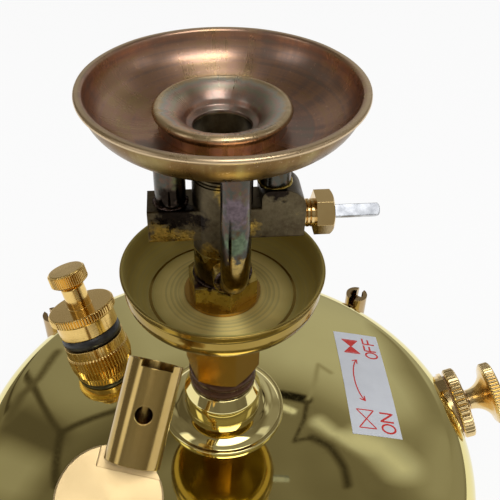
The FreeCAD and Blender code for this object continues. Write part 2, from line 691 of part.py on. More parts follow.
# ---- Nozzle carrier and nozzle ----------------------------------------------
save("nozzle_carrier", turned(
    [(NOZZLE_SPIGOT_R, CARRIER_SPIGOT_Z), (CARRIER_SPIGOT_R, CARRIER_SPIGOT_Z)]
    + [(CARRIER_SPIGOT_R, PILLAR_TOP_Z)]
    + thread_outline(CARRIER_R, PILLAR_TOP_Z, CARRIER_TOP_Z, 1.4, 0.7)
    + [(NOZZLE_SPIGOT_R, CARRIER_TOP_Z)]
))
NOZZLE_BORE_R = 1.3
nozzle = turned([
    (NOZZLE_BORE_R, CARRIER_SPIGOT_Z + 3),
    (NOZZLE_SPIGOT_R, CARRIER_SPIGOT_Z + 3),
    (NOZZLE_SPIGOT_R, CARRIER_TOP_Z),
    (3.7, CARRIER_TOP_Z),
    (3.7, CARRIER_TOP_Z + 2.5),
    (NOZZLE_TIP_R + 0.2, NOZZLE_TIP_Z - 0.4),
    (NOZZLE_TIP_R - 0.3, NOZZLE_TIP_Z),
    (ORIFICE_R, NOZZLE_TIP_Z),
    (ORIFICE_R, ORIFICE_Z),
    (NOZZLE_BORE_R, ORIFICE_Z - 0.5),
])
nozzle_hex = hexagon(8.0, CARRIER_TOP_Z, CARRIER_TOP_Z + 2.5, 10)
nozzle_hex = nozzle_hex.cut(cylinder(2.0, CARRIER_TOP_Z, NOZZLE_TIP_Z))
save("nozzle", nozzle.fuse(nozzle_hex))

# ---- Pinion and rack --------------------------------------------------------
GEAR_PITCH = 2 * math.pi * GEAR_PITCH_R / GEAR_TEETH
GEAR_BASE_R = GEAR_PITCH_R * math.cos(PRESSURE_ANGLE)
TOOTH_THICK = GEAR_PITCH / 2 - GEAR_BACKLASH / 2


def involute(angle):
    return math.tan(angle) - angle


def pinion_outline():
    """Corners of the pinion in its own plane, one tooth pointing along +X."""
    root = GEAR_PITCH_R - RACK_ADDENDUM - GEAR_BOTTOM_GAP
    tip = GEAR_PITCH_R + GEAR_ADDENDUM
    flank = []
    for step in range(5):
        radius = GEAR_BASE_R + (tip - GEAR_BASE_R) * step / 4
        here = math.acos(min(1.0, GEAR_BASE_R / radius))
        half = TOOTH_THICK / (2 * GEAR_PITCH_R) + involute(PRESSURE_ANGLE) - involute(here)
        flank.append((radius, math.degrees(half)))
    one_tooth = [(root, -flank[0][1])] + [(r, -a) for r, a in flank]
    one_tooth += [(r, a) for r, a in flank[::-1]] + [(root, flank[0][1])]
    corners = []
    for tooth in range(GEAR_TEETH):
        for radius, azimuth in one_tooth:
            at = polar(radius, azimuth + 360.0 * tooth / GEAR_TEETH)
            corners.append((at.x, at.y))
    return corners


def rack_outline():
    """Corners of the rack as (distance from the spindle's axis, height above it)."""
    slope = math.tan(PRESSURE_ANGLE)
    tip = GEAR_PITCH_R - RACK_ADDENDUM
    root = GEAR_PITCH_R + GEAR_ADDENDUM + GEAR_BOTTOM_GAP
    tip_half = TOOTH_THICK / 2 - RACK_ADDENDUM * slope
    root_half = TOOTH_THICK / 2 + (root - GEAR_PITCH_R) * slope
    corners = [(RACK_BACK, -RACK_LOW), (root, -RACK_LOW)]
    for tooth in range(RACK_FIRST, RACK_LAST + 1):
        middle = (tooth + 0.5) * GEAR_PITCH
        corners += [(root, middle - root_half), (tip, middle - tip_half)]
        corners += [(tip, middle + tip_half), (root, middle + root_half)]
    return corners + [(root, RACK_TOP), (RACK_BACK, RACK_TOP)]


RACK_TOP = GEAR_PITCH_R + GEAR_ADDENDUM + 3.0
BRIDGE_LOW = RACK_TOP - 2.2
NEEDLE_R = 0.8
PRICKER_R = ORIFICE_R - 0.08
PRICKER_LOW_Z = 204.9
PRICKER_TIP_Z = ORIFICE_Z - 0.3
rack_face = Part.Face(Part.makePolygon(
    [V(-RACK_HALF_WIDTH, -d, GLAND_Z + h) for d, h in rack_outline() + rack_outline()[:1]]
))
needle = rack_face.extrude(V(2 * RACK_HALF_WIDTH, 0, 0))
bridge_z = (GLAND_Z + BRIDGE_LOW, GLAND_Z + RACK_TOP)
needle = needle.fuse(box((-RACK_HALF_WIDTH, RACK_HALF_WIDTH), (-RACK_BACK, 1.2), bridge_z))
needle = needle.fuse(cylinder(NEEDLE_R, bridge_z[1] - 0.5, PRICKER_LOW_Z))
needle = needle.fuse(cylinder(PRICKER_R, PRICKER_LOW_Z - 0.5, PRICKER_TIP_Z))
save("cleaning_needle", turned_by(needle, BAR_AZ))

# Local Z of the spindle is its axis; local -X looks down in the burner, local Y along the bar's side.
spindle = prism(pinion_outline(), -GEAR_HALF_LENGTH, GEAR_HALF_LENGTH)
spindle = spindle.fuse(cylinder(1.5, GEAR_HALF_LENGTH - 1, GEAR_HALF_LENGTH + 1))
spindle = spindle.fuse(cylinder(SPINDLE_R, GEAR_HALF_LENGTH, SPINDLE_SQUARE_X))
half_square = SPINDLE_SQUARE / 2
square = box((-half_square, half_square), (-half_square, half_square), (SPINDLE_SQUARE_X - 1, SPINDLE_END_X))
square = square.common(turned([
    (0, SPINDLE_SQUARE_X - 1),
    (SPINDLE_R, SPINDLE_SQUARE_X - 1),
    (SPINDLE_R, SPINDLE_END_X - 0.8),
    (SPINDLE_R - 0.9, SPINDLE_END_X),
    (0, SPINDLE_END_X),
]))
square.rotate(ORIGIN, UP, 45)
spindle = placed(spindle.fuse(square), V(0, 0, GLAND_Z), V(1, 0, 0), V(0, -1, 0))
save("regulator_spindle", turned_by(spindle, BAR_AZ))


def along_bar(shape):
    """Piece built on Z, laid along the cross bar on the spindle's axis."""
    return turned_by(placed(shape, V(0, 0, GLAND_Z), V(1, 0, 0), V(0, -1, 0)), BAR_AZ)


SPINDLE_BORE_R = SPINDLE_R + RUNNING
save("gland_packing", along_bar(ring(SHANK_R, SPINDLE_BORE_R, *PACKING_X)))
gland_nut = turned(
    [(SPINDLE_BORE_R, PACKING_X[1]), (SHANK_R, PACKING_X[1]), (SHANK_R, BAR_RIGHT)]
    + thread_outline(THREAD_R, BAR_RIGHT, GLAND_NUT_X[0], 1.3, 0.6)
    + [(THREAD_R, GLAND_NUT_X[0] + 1), (SPINDLE_BORE_R, GLAND_NUT_X[0] + 1)]
)
gland_hex = hexagon(GLAND_NUT_FLATS, *GLAND_NUT_X, 30, cut_high=True)
gland_hex = gland_hex.cut(cylinder(SPINDLE_BORE_R, *GLAND_NUT_X))
save("gland_nut", along_bar(gland_nut.fuse(gland_hex)))

# ---- Filler -----------------------------------------------------------------
filler_neck = cylinder(FILLER_HOLE_R, NECK_LOW_H, NECK_KNURL_H)
filler_flange = cylinder(NECK_BAND_R, NECK_LOW_H, FILLER_NECK_H)
filler_flange = filler_flange.fuse(knurled(NECK_KNURL_R, NECK_LOW_H, NECK_KNURL_H, 44, 0.6))
filler_flange = on_filler(filler_flange).cut(TANK_SOLID)
filler_neck = on_filler(filler_neck).fuse(filler_flange)
filler_bore = cylinder(FILLER_BORE_R, NECK_LOW_H - 1, FILLER_NECK_H + 1)
save("filler_neck", filler_neck.cut(on_filler(filler_bore)))

GASKET_IN_R = FILLER_BORE_R + 0.6
GASKET_RISE = FILLER_GASKET_H - FILLER_NECK_H
gasket_middle_h = FILLER_NECK_H + 0.45 * GASKET_RISE
save("filler_gasket", on_filler(turned([
    (GASKET_IN_R, FILLER_NECK_H),
    (NECK_BAND_R - 1.4, FILLER_NECK_H),
    (NECK_BAND_R - 0.1, gasket_middle_h, NECK_BAND_R - 1.0, FILLER_GASKET_H - 0.1 * GASKET_RISE),
    (NECK_BAND_R - 2.2, FILLER_GASKET_H),
    (GASKET_IN_R, FILLER_GASKET_H),
])))

SCREW_BORE_R = SCREW_R + RUNNING
PLUG_R = FILLER_BORE_R - 0.08
CAP_PLUG_H = 2.0
VENT_BORE_R = 1.6
SCREW_SEAT_H = CAP_TOP_H - 17.0
filler_cap = turned([
    (VENT_BORE_R, CAP_PLUG_H),
    (PLUG_R - 0.6, CAP_PLUG_H),
    (PLUG_R, CAP_PLUG_H + 0.6),
    (PLUG_R, FILLER_GASKET_H),
    (CAP_BAND_R, FILLER_GASKET_H),
    (CAP_BAND_R, CAP_BAND_H),
    (CAP_KNURL_R - 0.7, CAP_BAND_H),
    (CAP_KNURL_R - 0.7, CAP_TOP_H),
    (CAP_STEM_R, CAP_TOP_H),
    (CAP_STEM_R, CAP_STEM_H - 0.6),
    (CAP_STEM_R - 0.6, CAP_STEM_H),
    (SCREW_BORE_R, CAP_STEM_H),
    (SCREW_BORE_R, SCREW_SEAT_H + 1.2),
    (VENT_BORE_R, SCREW_SEAT_H),
])
cap_knurl = knurled(CAP_KNURL_R, CAP_BAND_H, CAP_TOP_H - 0.3, 60, 0.5)
filler_cap = filler_cap.fuse(cap_knurl.cut(cylinder(CAP_STEM_R, CAP_BAND_H, CAP_TOP_H)))
vent = rod(V(0, 0, CAP_TOP_H + 4), V(CAP_STEM_R + 1, 0, CAP_TOP_H + 4), 0.7)
save("filler_cap", on_filler(filler_cap.cut(vent)))

PIP_TOP_H = SCREW_SEAT_H + 4.0
screw = cylinder(SCREW_R, PIP_TOP_H, SCREW_KNOB_H[0] + 1)
screw = screw.fuse(turned([
    (0, SCREW_KNOB_H[0]),
    (SCREW_KNOB_R - 1.3, SCREW_KNOB_H[0]),
    (SCREW_KNOB_R - 0.5, SCREW_KNOB_H[0] + 0.7),
    (SCREW_KNOB_R - 0.5, SCREW_KNOB_H[1] - 0.5),
    (SCREW_KNOB_R - 1.0, SCREW_KNOB_H[1]),
    (0, SCREW_KNOB_H[1]),
]))
screw = screw.fuse(knurled(SCREW_KNOB_R, SCREW_KNOB_H[0] + 0.7, SCREW_KNOB_H[1] - 0.5, 44, 0.45))
save("release_screw", on_filler(screw))
save("release_pip", on_filler(turned([
    (0, SCREW_SEAT_H + FREE + 1.0),
    (1.2, SCREW_SEAT_H + FREE + 1.0),
    (SCREW_R - 0.4, SCREW_SEAT_H + FREE + 2.3),
    (SCREW_R - 0.4, PIP_TOP_H),
    (0, PIP_TOP_H),
])))

# ---- Pump, built on Z: the cap's inner face is 0, the barrel goes to minus ---
BARREL_BORE_R = BARREL_R - BARREL_WALL
PISTON_AT = BARREL_LENGTH - 14.0
ROD_END = BARREL_LENGTH - 8.0
save("pump_barrel", on_pump(turned([
    (VALVE_PORT_R, -BARREL_LENGTH),
    (BARREL_R, -BARREL_LENGTH),
    (BARREL_R, 0),
    (BARREL_BORE_R, 0),
    (BARREL_BORE_R, -BARREL_LENGTH + BARREL_END),
    (VALVE_PORT_R, -BARREL_LENGTH + BARREL_END),
])))
collar = ring(COLLAR_R, BARREL_R, -30, -PUMP_GASKET_THICK)
collar = collar.fuse(ring(COLLAR_R + 0.8, BARREL_R, -PUMP_GASKET_THICK - 1.6, -PUMP_GASKET_THICK))
lug = box((-3, 3), (BARREL_R + 1, COLLAR_R + 1.8), (-7.5, -PUMP_GASKET_THICK))
collar = on_pump(collar).fuse(placed(lug, PUMP_AT, PUMP_AXIS, UP.cross(PUMP_AXIS))).cut(TANK_SOLID)
save("pump_collar", max(collar.Solids, key=lambda solid: solid.Volume))
save("pump_gasket", on_pump(ring(COLLAR_R - 1.0, BARREL_R, -PUMP_GASKET_THICK, 0)))

ROD_BORE_R = ROD_R + RUNNING
cap = turned([
    (ROD_BORE_R, -PUMP_PLUG_DEPTH),
    (BARREL_BORE_R, -PUMP_PLUG_DEPTH),
    (BARREL_BORE_R, 0),
    (PUMP_CAP_R - 0.9, 0),
    (PUMP_CAP_R - 0.9, PUMP_CAP_THICK),
    (6.3, PUMP_CAP_THICK),
    (5.7, PUMP_CAP_THICK + 1.4),
    (ROD_BORE_R, PUMP_CAP_THICK + 1.4),
])
cap_teeth = knurled(PUMP_CAP_R, 0.4, PUMP_CAP_THICK - 0.4, 40, 0.8)
save("pump_cap", on_pump(cap.fuse(cap_teeth.cut(cylinder(PUMP_CAP_R - 3, 0, PUMP_CAP_THICK)))))

KNOB_SOCKET = 14.0
save("pump_rod", on_pump(cylinder(ROD_R, -ROD_END, KNOB_SOCKET)))
knob = turned([
    (ROD_R, KNOB_START),
    (4.6, KNOB_START),
    (6.4, 12.6, 12.4, KNOB_BAND[0] - 0.9),
    (KNOB_R - 0.6, KNOB_BAND[0]),
    (KNOB_R - 0.6, KNOB_BAND[1]),
    (6.6, KNOB_BAND[1] + 0.9, 0, KNOB_BAND[1] + 1.2),
    (0, KNOB_SOCKET),
    (ROD_R, KNOB_SOCKET),
])
knob_teeth = knurled(KNOB_R, *KNOB_BAND, 56, 0.6).cut(cylinder(KNOB_R - 3, *KNOB_BAND))
save("pump_knob", on_pump(knob.fuse(knob_teeth)))
save("piston_washer", on_pump(ring(8.2, ROD_R, -PISTON_AT, -PISTON_AT + 1.4)))
LEATHER_R = BARREL_BORE_R - 0.05
save("pump_leather", on_pump(turned([
    (ROD_R, -PISTON_AT),
    (LEATHER_R - 1.0, -PISTON_AT),
    (LEATHER_R - 0.3, -PISTON_AT - 0.3, LEATHER_R, -PISTON_AT - 1.0),
    (LEATHER_R, -PISTON_AT - LEATHER_SKIRT),
    (LEATHER_R - 1.6, -PISTON_AT - LEATHER_SKIRT),
    (LEATHER_R - 1.6, -PISTON_AT - LEATHER_THICK),
    (ROD_R, -PISTON_AT - LEATHER_THICK),
])))
NUT_LOW = -PISTON_AT - LEATHER_THICK - 3.4
piston_nut = hexagon(11.0, NUT_LOW, -PISTON_AT - LEATHER_THICK)
save("piston_nut", on_pump(piston_nut.cut(cylinder(ROD_R, NUT_LOW, 0))))

VALVE_LOW = -BARREL_LENGTH - VALVE_LENGTH
VALVE_IN_R = VALVE_R - 1.4
save("check_valve_body", on_pump(turned([
    (1.2, VALVE_LOW),
    (VALVE_R - 1, VALVE_LOW),
    (VALVE_R, VALVE_LOW + 1),
    (VALVE_R, -BARREL_LENGTH),
    (VALVE_IN_R, -BARREL_LENGTH),
    (VALVE_IN_R, VALVE_LOW + 1.4),
    (1.2, VALVE_LOW + 1.4),
])))
PIP_LOW = -BARREL_LENGTH - 2.0
save("check_valve_pip", on_pump(cylinder(VALVE_IN_R - 0.6, PIP_LOW, -BARREL_LENGTH)))
WIRE_R = 0.35
COIL_R = 2.9
coil_low = VALVE_LOW + 1.4 + WIRE_R
coil = Part.makeHelix(2.2, PIP_LOW - WIRE_R - coil_low, COIL_R)
wire_end = Part.Wire(Part.Circle(V(COIL_R, 0, 0), V(0, 1, 0), WIRE_R).toShape())
spring = Part.Wire(coil.Edges).makePipeShell([wire_end], True, True)
spring.translate(V(0, 0, coil_low))
save("check_valve_spring", on_pump(spring))

# ---- Preheating torch -------------------------------------------------------
FACE_UP = (FLAME_AXIS - STEM_AXIS * FLAME_AXIS.dot(STEM_AXIS)).normalize()
FACE_SIDE = FACE_UP.cross(STEM_AXIS)


def on_drum(shape):
    """Local X across the face, local Y toward the flame tube, local Z the drum's axis."""
    return placed(shape, DRUM_AT, STEM_AXIS, FACE_SIDE)


def drum_valve(shape):
    """Piece built on Z, laid on the valve's axis: outward is away from the flame tube."""
    return placed(shape, DRUM_AT - STEM_AXIS * VALVE_DEPTH, FACE_UP * -1, FACE_SIDE)


torch_axis_end = TORCH_AT + FLAME_AXIS * TORCH_LENGTH
torch_solid = rod(TORCH_AT, torch_axis_end, TORCH_R)
torch_offset = (TORCH_AT - DRUM_AT).dot(FACE_SIDE)

drum = turned([
    (0, -DRUM_THICK),
    (DRUM_R - 1.5, -DRUM_THICK),
    (DRUM_R, -DRUM_THICK + 1.5),
    (DRUM_R, -0.5),
    (DRUM_R - 0.5, 0),
    (0, 0),
])
drum = drum.cut(box(
    (torch_offset - NOTCH_HALF, torch_offset + NOTCH_HALF), (NOTCH_FROM, DRUM_R + 1), (-NOTCH_DEPTH, 1)
))
drum = on_drum(drum).cut(torch_solid)
VALVE_BORE_R = TORCH_SPINDLE_R + FREE
TORCH_DUCT_R = 1.0
DUCT_CORNER = DRUM_AT + FACE_SIDE * torch_offset + FACE_UP * 11.8 - STEM_AXIS * VALVE_DEPTH
for hole in (
    drum_valve(cylinder(TORCH_SHANK_R, 9, DRUM_R + 1)),
    drum_valve(cylinder(VALVE_BORE_R, -TORCH_FEED_R - 1.5, 9)),
    rod(DRUM_AT - STEM_AXIS * (DRUM_THICK + 1), DRUM_AT - STEM_AXIS * VALVE_DEPTH, TORCH_FEED_R),
    rod(DRUM_AT - STEM_AXIS * VALVE_DEPTH, DUCT_CORNER, TORCH_DUCT_R),
    rod(DUCT_CORNER, DUCT_CORNER + STEM_AXIS * (VALVE_DEPTH - NOTCH_DEPTH), TORCH_DUCT_R),
):
    drum = drum.cut(hole)
save("torch_drum", drum)

stem = rod(STEM_START, STEM_END, STEM_R).cut(rod(STEM_START, STEM_END, TORCH_FEED_R))
save("torch_stem", stem.cut(TANK_SOLID))
foot_start = DRUM_AT - STEM_AXIS * 50
foot = rod(foot_start, STEM_END, FOOT_R).cut(rod(foot_start, STEM_END, STEM_R))
save("torch_foot", foot.cut(TANK_SOLID))

hole_side = (STEM_AXIS - FLAME_AXIS * STEM_AXIS.dot(FLAME_AXIS)).normalize()
flame_tube = torch_solid.cut(rod(TORCH_AT, torch_axis_end, TORCH_R - TORCH_WALL))
air_hole_at = TORCH_AT + FLAME_AXIS * AIR_HOLE_AT
flame_tube = flame_tube.cut(rod(air_hole_at, air_hole_at + hole_side * (TORCH_R + 1), AIR_HOLE_R))
lip_cut = box((-5.2, 4.0), (0, TORCH_R + 1), (TORCH_LENGTH - 1.8, TORCH_LENGTH + 1))
flame_tube = flame_tube.cut(placed(lip_cut, TORCH_AT, FLAME_AXIS, hole_side.cross(FLAME_AXIS)))
save("torch_tube", flame_tube)
save("torch_jet", placed(turned([
    (0.4, 0),
    (TORCH_R - TORCH_WALL, 0),
    (TORCH_R - TORCH_WALL, 3.0),
    (2.4, 3.0),
    (1.5, 7.0),
    (0.4, 7.0),
]), TORCH_AT, FLAME_AXIS))

TORCH_BORE_R = TORCH_SPINDLE_R + RUNNING
gland = ring(TORCH_SHANK_R, TORCH_BORE_R, 9, DRUM_R)
gland_head = hexagon(TORCH_GLAND_FLATS, DRUM_R, TORCH_GLAND_END, 0, cut_high=True)
gland_head = gland_head.cut(cylinder(TORCH_BORE_R, DRUM_R, TORCH_GLAND_END))
save("torch_gland", drum_valve(gland.fuse(gland_head)))
save("torch_spindle", drum_valve(turned([
    (0, 0),
    (0.6, 0),
    (TORCH_SPINDLE_R, 4),
    (TORCH_SPINDLE_R, TORCH_KNOB[1] - 1),
    (0, TORCH_KNOB[1] - 1),
])))
torch_knob = turned([
    (TORCH_SPINDLE_R, TORCH_KNOB[0]),
    (4.5, TORCH_KNOB[0]),
    (TORCH_KNOB_R - 0.6, TORCH_KNOB[0] + 1.2),
    (TORCH_KNOB_R - 0.6, TORCH_KNOB[1] - 0.4),
    (TORCH_KNOB_R - 1.1, TORCH_KNOB[1]),
    (0, TORCH_KNOB[1]),
    (0, TORCH_KNOB[1] - 1),
    (TORCH_SPINDLE_R, TORCH_KNOB[1] - 1),
])
torch_teeth = knurled(TORCH_KNOB_R, TORCH_KNOB[0] + 1.2, TORCH_KNOB[1] - 0.4, 40, 0.5)
torch_teeth = torch_teeth.cut(cylinder(TORCH_KNOB_R - 2, *TORCH_KNOB))
save("torch_knob", drum_valve(torch_knob.fuse(torch_teeth)))
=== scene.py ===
# %% [markdown]
# # A brass pressure stove: the looks
# This lesson dresses a finished engineering model of a kerosene pressure stove. The engineering
# model fixes every size and every moving joint. Here the same pieces get smooth surfaces, soft
# edges, knurls, solder, a label and the finishes of real brass, steel, rubber and leather.

# %% Load the engineering model
from math import asin, atan2, cos, degrees, hypot, pi, radians, sin, sqrt

import bmesh
import bpy
from mathutils import Matrix, Vector, noise


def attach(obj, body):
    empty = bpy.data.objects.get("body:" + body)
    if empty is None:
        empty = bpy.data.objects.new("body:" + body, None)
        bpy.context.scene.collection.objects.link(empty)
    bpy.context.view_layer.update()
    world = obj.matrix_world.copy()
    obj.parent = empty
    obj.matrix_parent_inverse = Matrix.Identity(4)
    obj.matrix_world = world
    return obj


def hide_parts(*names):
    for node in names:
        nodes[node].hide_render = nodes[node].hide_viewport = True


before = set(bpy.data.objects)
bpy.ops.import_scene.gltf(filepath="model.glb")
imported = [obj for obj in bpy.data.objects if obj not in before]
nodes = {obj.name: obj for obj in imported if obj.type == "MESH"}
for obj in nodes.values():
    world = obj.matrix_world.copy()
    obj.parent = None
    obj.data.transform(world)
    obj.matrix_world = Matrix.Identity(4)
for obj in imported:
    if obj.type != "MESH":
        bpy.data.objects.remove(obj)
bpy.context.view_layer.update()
scene = bpy.context.scene
MM = 0.001
print("pieces in the engineering model:", len(nodes))

# %% [markdown]
# ## Directions that several pieces share
# The filler, the pump and the torch each stand on a tilted axis. Each axis is a point and a
# direction in millimetres, the same ones as in the engineering model, so a new piece lands
# exactly where the old one was.

# %% Axes of the tilted groups
UP = Vector((0, 0, 1))
STOVE = (Vector((0, 0, 0)), UP)
FILLER = (Vector((-56.919, 35.154, 80.390)), Vector((-0.279421, 0.261478, 0.923880)))
PUMP = (Vector((109.098, 24.107, 56.8)), Vector((0.936117, 0.081900, 0.342020)))
DRUM = (Vector((-33.1, -73.0, 135.3)), Vector((0.149619, -0.508704, 0.847841)))
TORCH = (Vector((-26.5, -65.9, 143.7)), Vector((0.227711, 0.712837, 0.663334)))
DRUM_UP = (TORCH[1] - DRUM[1] * TORCH[1].dot(DRUM[1])).normalized()
VALVE_DEPTH = 6.0
VALVE = (DRUM[0] - DRUM[1] * VALVE_DEPTH, DRUM_UP * -1)
BAR_TURN = radians(4.0)
BAR_AXIS = Vector((cos(BAR_TURN), sin(BAR_TURN), 0))
print("pump axis rises", round(degrees(asin(PUMP[1].z)), 1), "degrees")


# %% [markdown]
# ## Mixing a finish
# Polished metal is mostly reflection, so its colour is the tint of the reflection and its
# character is in the roughness and the tiny bumps. `Finish` keeps a material and the small
# helpers that wire its nodes: clouds of noise, colour ramps, and the radius and height about a
# turning axis, because lathe work leaves its marks in rings.

# %% A small kit for materials
class Finish:
    """A material while it is being mixed."""

    def __init__(self, name, colour, metallic=1.0, roughness=0.3):
        self.material = bpy.data.materials.new(name)
        self.material.use_nodes = True
        self.tree = self.material.node_tree
        self.shader = self.tree.nodes["Principled BSDF"]
        self.shader.inputs["Base Color"].default_value = (*colour, 1)
        self.shader.inputs["Metallic"].default_value = metallic
        self.shader.inputs["Roughness"].default_value = roughness
        self.place = self.add("ShaderNodeTexCoord").outputs["Object"]

    def add(self, kind, values=None, **settings):
        """Adds a node; a value that is a socket is wired, any other is set."""
        node = self.tree.nodes.new(kind)
        for key, value in settings.items():
            setattr(node, key, value)
        for key, value in (values or {}).items():
            if isinstance(value, bpy.types.NodeSocket):
                self.tree.links.new(value, node.inputs[key])
            else:
                node.inputs[key].default_value = value
        return node

    def sums(self, operation, first, second=0.0, clamp=False):
        node = self.add("ShaderNodeMath", {0: first, 1: second}, operation=operation)
        node.use_clamp = clamp
        return node.outputs[0]

    def times(self, first, second):
        return self.sums("MULTIPLY", first, second)

    def plus(self, first, second, clamp=False):
        return self.sums("ADD", first, second, clamp)

    def less(self, first, second):
        return self.sums("SUBTRACT", first, second)

    def weigh(self, first, share, second, other_share):
        """Adds two values, each times its share."""
        return self.plus(self.times(first, share), self.times(second, other_share))

    def arrows(self, operation, first, second=(0, 0, 0)):
        node = self.add("ShaderNodeVectorMath", {0: first, 1: second}, operation=operation)
        return node.outputs["Value" if operation in ("DOT_PRODUCT", "LENGTH") else "Vector"]

    def scaled(self, arrow, size):
        values = {0: tuple(arrow), "Scale": size}
        return self.add("ShaderNodeVectorMath", values, operation="SCALE").outputs["Vector"]

    def cloud(self, size, detail=3.0, at=None, stretch=None, contrast=(0.35, 0.65)):
        """Noise whose spots measure about size millimetres, stretched to run from 0 to 1."""
        at = at or self.place
        if stretch:
            at = self.arrows("MULTIPLY", at, stretch)
        values = {"Vector": at, "Scale": 1 / (size * MM), "Detail": detail, "Roughness": 0.55}
        spots = self.add("ShaderNodeTexNoise", values).outputs[0]
        return self.between(spots, *contrast)

    def between(self, value, low, high, to=(0.0, 1.0)):
        """Maps low..high onto another range and clamps it."""
        ends = {"From Min": low, "From Max": high, "To Min": to[0], "To Max": to[1]}
        return self.add("ShaderNodeMapRange", {"Value": value, **ends}).outputs[0]

    def ramp(self, value, stops):
        node = self.add("ShaderNodeValToRGB", {0: value})
        band = node.color_ramp
        while len(band.elements) < len(stops):
            band.elements.new(0.5)
        for element, (place, colour) in zip(band.elements, stops):
            element.position = place
            element.color = (*colour, 1)
        return node.outputs[0]

    def mix(self, factor, *colours):
        """Mixes two colours, each a socket or three numbers."""
        first, second = [c if isinstance(c, bpy.types.NodeSocket) else (*c, 1) for c in colours]
        values = {0: factor, 6: first, 7: second}
        return self.add("ShaderNodeMix", values, data_type="RGBA").outputs[2]

    def about(self, origin, axis):
        """Radius and height in millimetres about an axis, and the arrow out from it."""
        offset = self.arrows("SUBTRACT", self.place, tuple(origin * MM))
        height = self.arrows("DOT_PRODUCT", offset, tuple(axis))
        outward = self.arrows("SUBTRACT", offset, self.scaled(axis, height))
        radius = self.times(self.arrows("LENGTH", outward), 1 / MM)
        return radius, self.times(height, 1 / MM), outward

    def rings(self, radius, height, pitch, detail=2.0):
        """Fine rings, as a tool leaves them: noise that changes only with radius and height."""
        at = self.add("ShaderNodeCombineXYZ", {0: radius, 1: height}).outputs[0]
        values = {"Vector": at, "Scale": 1 / pitch, "Detail": detail}
        return self.add("ShaderNodeTexNoise", values).outputs[0]

    def groove_shine(self, axis, outward, amount):
        """Grooves that run round an axis stretch a highlight across themselves."""
        normal = self.add("ShaderNodeTexCoord").outputs["Normal"]
        round_about = self.arrows("CROSS_PRODUCT", tuple(axis), outward)
        across = self.arrows("NORMALIZE", self.arrows("CROSS_PRODUCT", normal, round_about))
        self.shader.inputs["Anisotropic"].default_value = amount
        self.tree.links.new(across, self.shader.inputs["Tangent"])

    def colour(self, socket):
        self.tree.links.new(socket, self.shader.inputs["Base Color"])

    def rough(self, socket):
        self.tree.links.new(socket, self.shader.inputs["Roughness"])

    def surface(self, socket):
        """Puts another shader in place of the metal."""
        self.tree.links.new(socket, self.tree.nodes["Material Output"].inputs["Surface"])

    def relief(self, height, depth, edge=None):
        """Bump of the given depth in millimetres; an edge in millimetres rounds sharp corners."""
        values = {"Height": height, "Strength": 1.0, "Distance": depth * MM}
        if edge:
            corner = self.add("ShaderNodeBevel", {"Radius": edge * MM}, samples=6)
            values["Normal"] = corner.outputs[0]
        bump = self.add("ShaderNodeBump", values)
        self.tree.links.new(bump.outputs[0], self.shader.inputs["Normal"])


print("the kit for finishes is ready")

# %% [markdown]
# ## Brass, four ways
# All the brass is one alloy, yet it looks different by how it was worked. The tank is buffed to
# a mirror and shows only faint smears. Turned pieces keep rings from the tool and shine in a
# soft band. The cup was spun from sheet and is satin inside; its bright floor is a painted
# highlight, and its darker wall, dark grooves and dark outside are painted shade. Satin faces
# spread a highlight round the rings, so those finishes are anisotropic.


# %% Mirror brass for the tank and the boss
def mirror_brass(name, colour, smear=0.07):
    finish = Finish(name, colour)
    clean = finish.cloud(38, 4, contrast=(0.3, 0.7))
    fine = finish.cloud(1.6, 5, contrast=(0.45, 0.75))
    finish.colour(finish.mix(finish.times(clean, 0.5), colour, [c * 0.9 for c in colour]))
    smears = finish.times(finish.times(clean, fine), smear)
    finish.rough(finish.plus(smears, 0.035))
    waves = finish.cloud(30, 1, contrast=(0.0, 1.0))
    finish.relief(waves, 0.05)
    return finish.material


TANK_BRASS = mirror_brass("tank_mirror_brass", (0.85, 0.745, 0.315))
BOSS_BRASS = mirror_brass("boss_mirror_brass", (0.86, 0.74, 0.33), smear=0.05)
print("made", TANK_BRASS.name, "and", BOSS_BRASS.name)


# %% Turned and spun brass
CUP_BEND = (21, 28)  # radii in millimetres between which the cup's floor gives way to its wall


def turned_brass(name, at, colour, roughness=0.2, pitch=0.35, depth=0.004, edge=None,
                 satin=0.6, wear=0.3, groove_shade_share=0.0, wall=None):
    """Brass with rings about an axis; the cup also has a darker wall colour and darker grooves,
    both painted shade.
    """
    finish = Finish(name, colour)
    radius, height, outward = finish.about(*at)
    rings = finish.rings(radius, height, pitch)
    worn = finish.cloud(7, 4)
    dull = [c * f for c, f in zip(colour, (0.8, 0.74, 0.62))]
    tint = finish.mix(finish.times(worn, wear), colour, dull)
    # Painted light and shade: the cup's bright floor colour gives way to a darker wall colour.
    if wall:
        tint = finish.mix(finish.between(radius, *CUP_BEND), tint, wall)
    # Painted shade: the low grooves of the rings are darkened.
    groove_shade = finish.times(finish.between(rings, 0.6, 0.4), groove_shade_share)
    finish.colour(finish.mix(groove_shade, tint, [c * 0.45 for c in colour]))
    uneven = finish.plus(finish.times(worn, 0.15 * wear), roughness - 0.03)
    finish.rough(finish.plus(uneven, finish.times(rings, 0.05)))
    finish.relief(rings, depth, edge)
    finish.groove_shine(at[1], outward, satin)
    return finish.material


